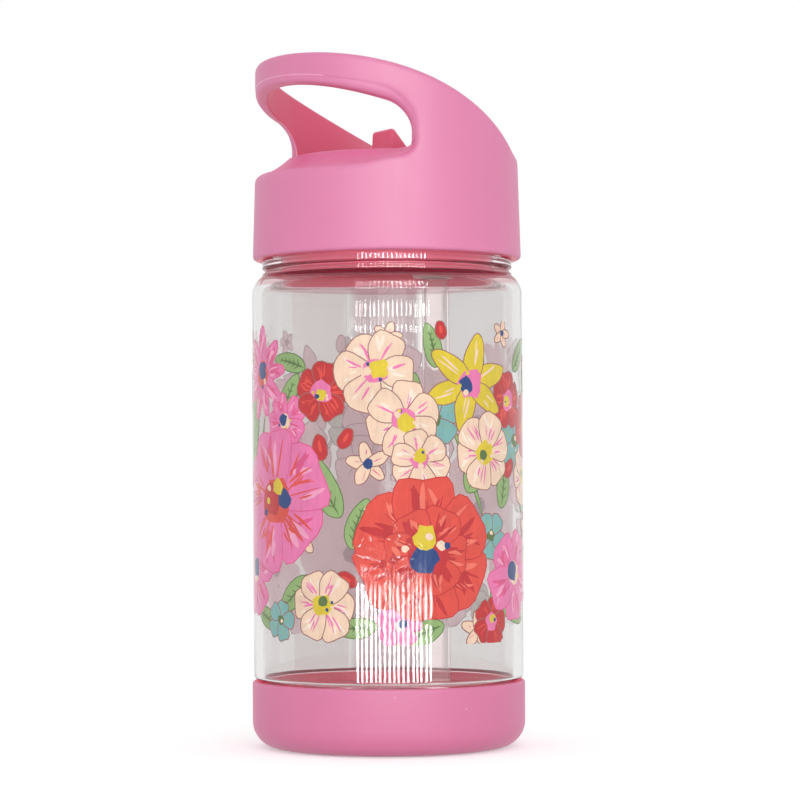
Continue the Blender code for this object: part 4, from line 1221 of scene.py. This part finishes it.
def print_shapes():
    """Every inked shape of the print as (ink, outline), later ones over earlier ones."""
    draws = random.Random(11)
    shapes = []
    posies = [(kind, *place) for kind, *places in POSIES for place in places]
    for shift in (0.0, PRINT_REPEAT):
        for kind, along, height, size, degrees in posies:
            along, turn = along + shift, math.radians(degrees)
            batch = []
            if kind == "stem":
                paint(batch, "leaf", streak(along, height, turn, 0, size, 0.42, draws.uniform(-0.3, 0.3)))
            elif kind == "leaf":
                paint_leaf(batch, draws, along, height, size, turn)
            elif kind == "bud":
                paint(batch, "red", petal(along, height, turn, size, size * 0.42, 0.1, draws))
                batch += [("coral", streak(along, height, turn, size * 0.3, size * 0.8, 0.5))]
            else:
                paint_flower(batch, draws, Flower(*FLOWERS[kind]), along, height, size, turn)
            # each shape is there once more, one turn round the bottle back
            for ink, outline in batch:
                shapes += [(ink, [(s + back, z) for s, z in outline]) for back in (0, -2 * PRINT_REPEAT)]
    return shapes


def inked_mesh(shapes):
    """The shapes cut into each other, flat, as points and as triangles that know their ink."""
    points, edges, drawn = [], [], []
    for ink, outline in shapes:
        if min(s for s, _ in outline) > SEAM or max(s for s, _ in outline) < -SEAM:
            continue
        outline = [(min(max(s, -SEAM), SEAM), min(max(z, PRINT_LOW), PRINT_HIGH)) for s, z in outline]
        at = len(points)
        points += outline
        edges += [(at + k, at + (k + 1) % len(outline)) for k in range(len(outline))]
        drawn.append((ink, np.array(outline)))
    # a grid between the outlines keeps the triangles short, so that they follow the round wall
    step = 2.2
    for row in range(int((PRINT_HIGH - PRINT_LOW) / step) + 1):
        shift = step / 2 * (row % 2)
        count = int(2 * SEAM / step)
        points += [(-SEAM + shift + step * k, PRINT_LOW + step * row) for k in range(count)]
    verts, _, faces, _, _, _ = delaunay_2d_cdt([Vector(p) for p in points], edges, [], 0, 1e-4)
    flat = np.array([tuple(v) for v in verts])
    centres = flat[np.array(faces)].mean(axis=1)
    names = list(INKS)
    inked = np.full(len(faces), -1)
    for ink, outline in drawn:
        low, high = outline.min(axis=0), outline.max(axis=0)
        near = np.flatnonzero(np.all((centres >= low) & (centres <= high), axis=1))
        if len(near):
            inked[near[near_loop(centres[near], outline, 0.0)[0]]] = names.index(ink)
    return flat, [(face, ink) for face, ink in zip(faces, inked) if ink >= 0]


def build_print(inks, undersides):
    """A thin skin of ink round the bottle. Its outside has the colours, and its inside shows through the clear wall."""
    flat, faces = inked_mesh(print_shapes())
    names, under_names = list(INKS), list(UNDERSIDES)
    bm = bmesh.new()
    outer, inner = {}, {}
    for k in dict.fromkeys(k for face, _ in faces for k in face):
        along, height = flat[k]
        turn = math.radians(CAMERA_TURN) + along / BOTTLE_R
        outer[k] = bm.verts.new(at_angle(PRINT_OUT_R, turn, height))
        inner[k] = bm.verts.new(at_angle(PRINT_IN_R, turn, height))
    open_edges = {}
    for face, ink in faces:
        bm.faces.new([outer[k] for k in face]).material_index = ink
        under = under_names.index(UNDERSIDE_OF.get(names[ink], "warm"))
        bm.faces.new([inner[k] for k in reversed(face)]).material_index = len(names) + under
        for a, b in zip(face, face[1:] + face[:1]):
            if (b, a) in open_edges:
                del open_edges[b, a]
            else:
                open_edges[a, b] = ink
    for (a, b), ink in open_edges.items():
        bm.faces.new((outer[b], outer[a], inner[a], inner[b])).material_index = ink
    piece("printed_flowers", bm, [*inks, *undersides], "bottle", None)


# Making it

bpy.context.scene.view_settings.view_transform = "Standard"
add_camera()
add_world(0.75)
add_floor()
add_lamp("key_lamp", 12, 0.55, 1.1, 0.5, 1.5)
add_lamp("front_lamp", 4.5, 0.164, 0.72, 0.3, 0.58, glossy=False)
add_strip_lights()
add_card("mauve_card", -0.0115, 0.0105, srgb(226, 203, 208), 1.0, 0.14)
add_card("grey_card", -0.0296, -0.0117, srgb(247, 240, 239), 1.0, 0.02)
add_card("straw_card", 0.0088, 0.0178, (1.0, 0.97, 0.965, 1.0), 1.7, 0.18)

skin = moulded_skin_group()
# painted shade: deeper pinks for the hood's shaded inside and sill, on the one pink plastic
lid_inner_shade = {"Inner_Colour": srgb(222, 92, 126), "Inner_Radius": 31.1, "Under": 0.45}
lid_sill_shade = {"Sill_Colour": srgb(230, 100, 154), "Sill_Radius": 25.4, "Sill_Height": 152.6}
lid_pink = moulded("lid pink plastic", skin, srgb(226, 131, 173), 0.46, **lid_inner_shade, **lid_sill_shade)
highlight_pink = moulded("lid pink plastic, painted edge highlight", skin, srgb(242, 162, 196), 0.4)
# painted shade: the spout sits deep in the hood, so its pink is darker than the lid's
spout_pink_in_shade = moulded("spout pink plastic in painted shade", skin, srgb(244, 104, 142), 0.4)
base_pink = moulded("base pink plastic", skin, srgb(223, 125, 166), 0.46)
# painted shade: the pinks inside the lid and inside the base cup are darker than their plastic
shaded_pink = moulded("pink plastic in painted shade, seen through the cup", skin, srgb(248, 106, 136), 0.4)
floor_pink = moulded("base pink plastic in painted shade, seen through the cup", skin, srgb(255, 92, 124), 0.4)
silicone = moulded("white silicone", skin, srgb(232, 228, 224), 0.55, 0.35, Grain=2.0, Grain_Depth=0.3)
clear = clear_plastic("clear plastic")
# painted pink: a share of shaded translucent pink in the groove and over the base cup
clear_groove = clear_plastic("clear plastic with painted pink", 0.38)
straw_look = frosted("straw plastic", srgb(255, 252, 252), 0.2, 0.92, 1.05)

strokes = ink_stroke_group()
inks = [ink(name + " ink", strokes, srgb(*colour), 0.06, 0.11) for name, colour in INKS.items()]
under_name, thin = " ink underside", 0.75
undersides = [ink(name + under_name, strokes, srgb(*colour), 0.5, 0.04, thin) for name, colour in UNDERSIDES.items()]

build_base_cup(base_pink, floor_pink)
build_print(inks, undersides)
build_bottle(clear, clear_groove)
build_small_parts(silicone, straw_look)
build_spout(spout_pink_in_shade)
build_lid([lid_pink, shaded_pink, highlight_pink])
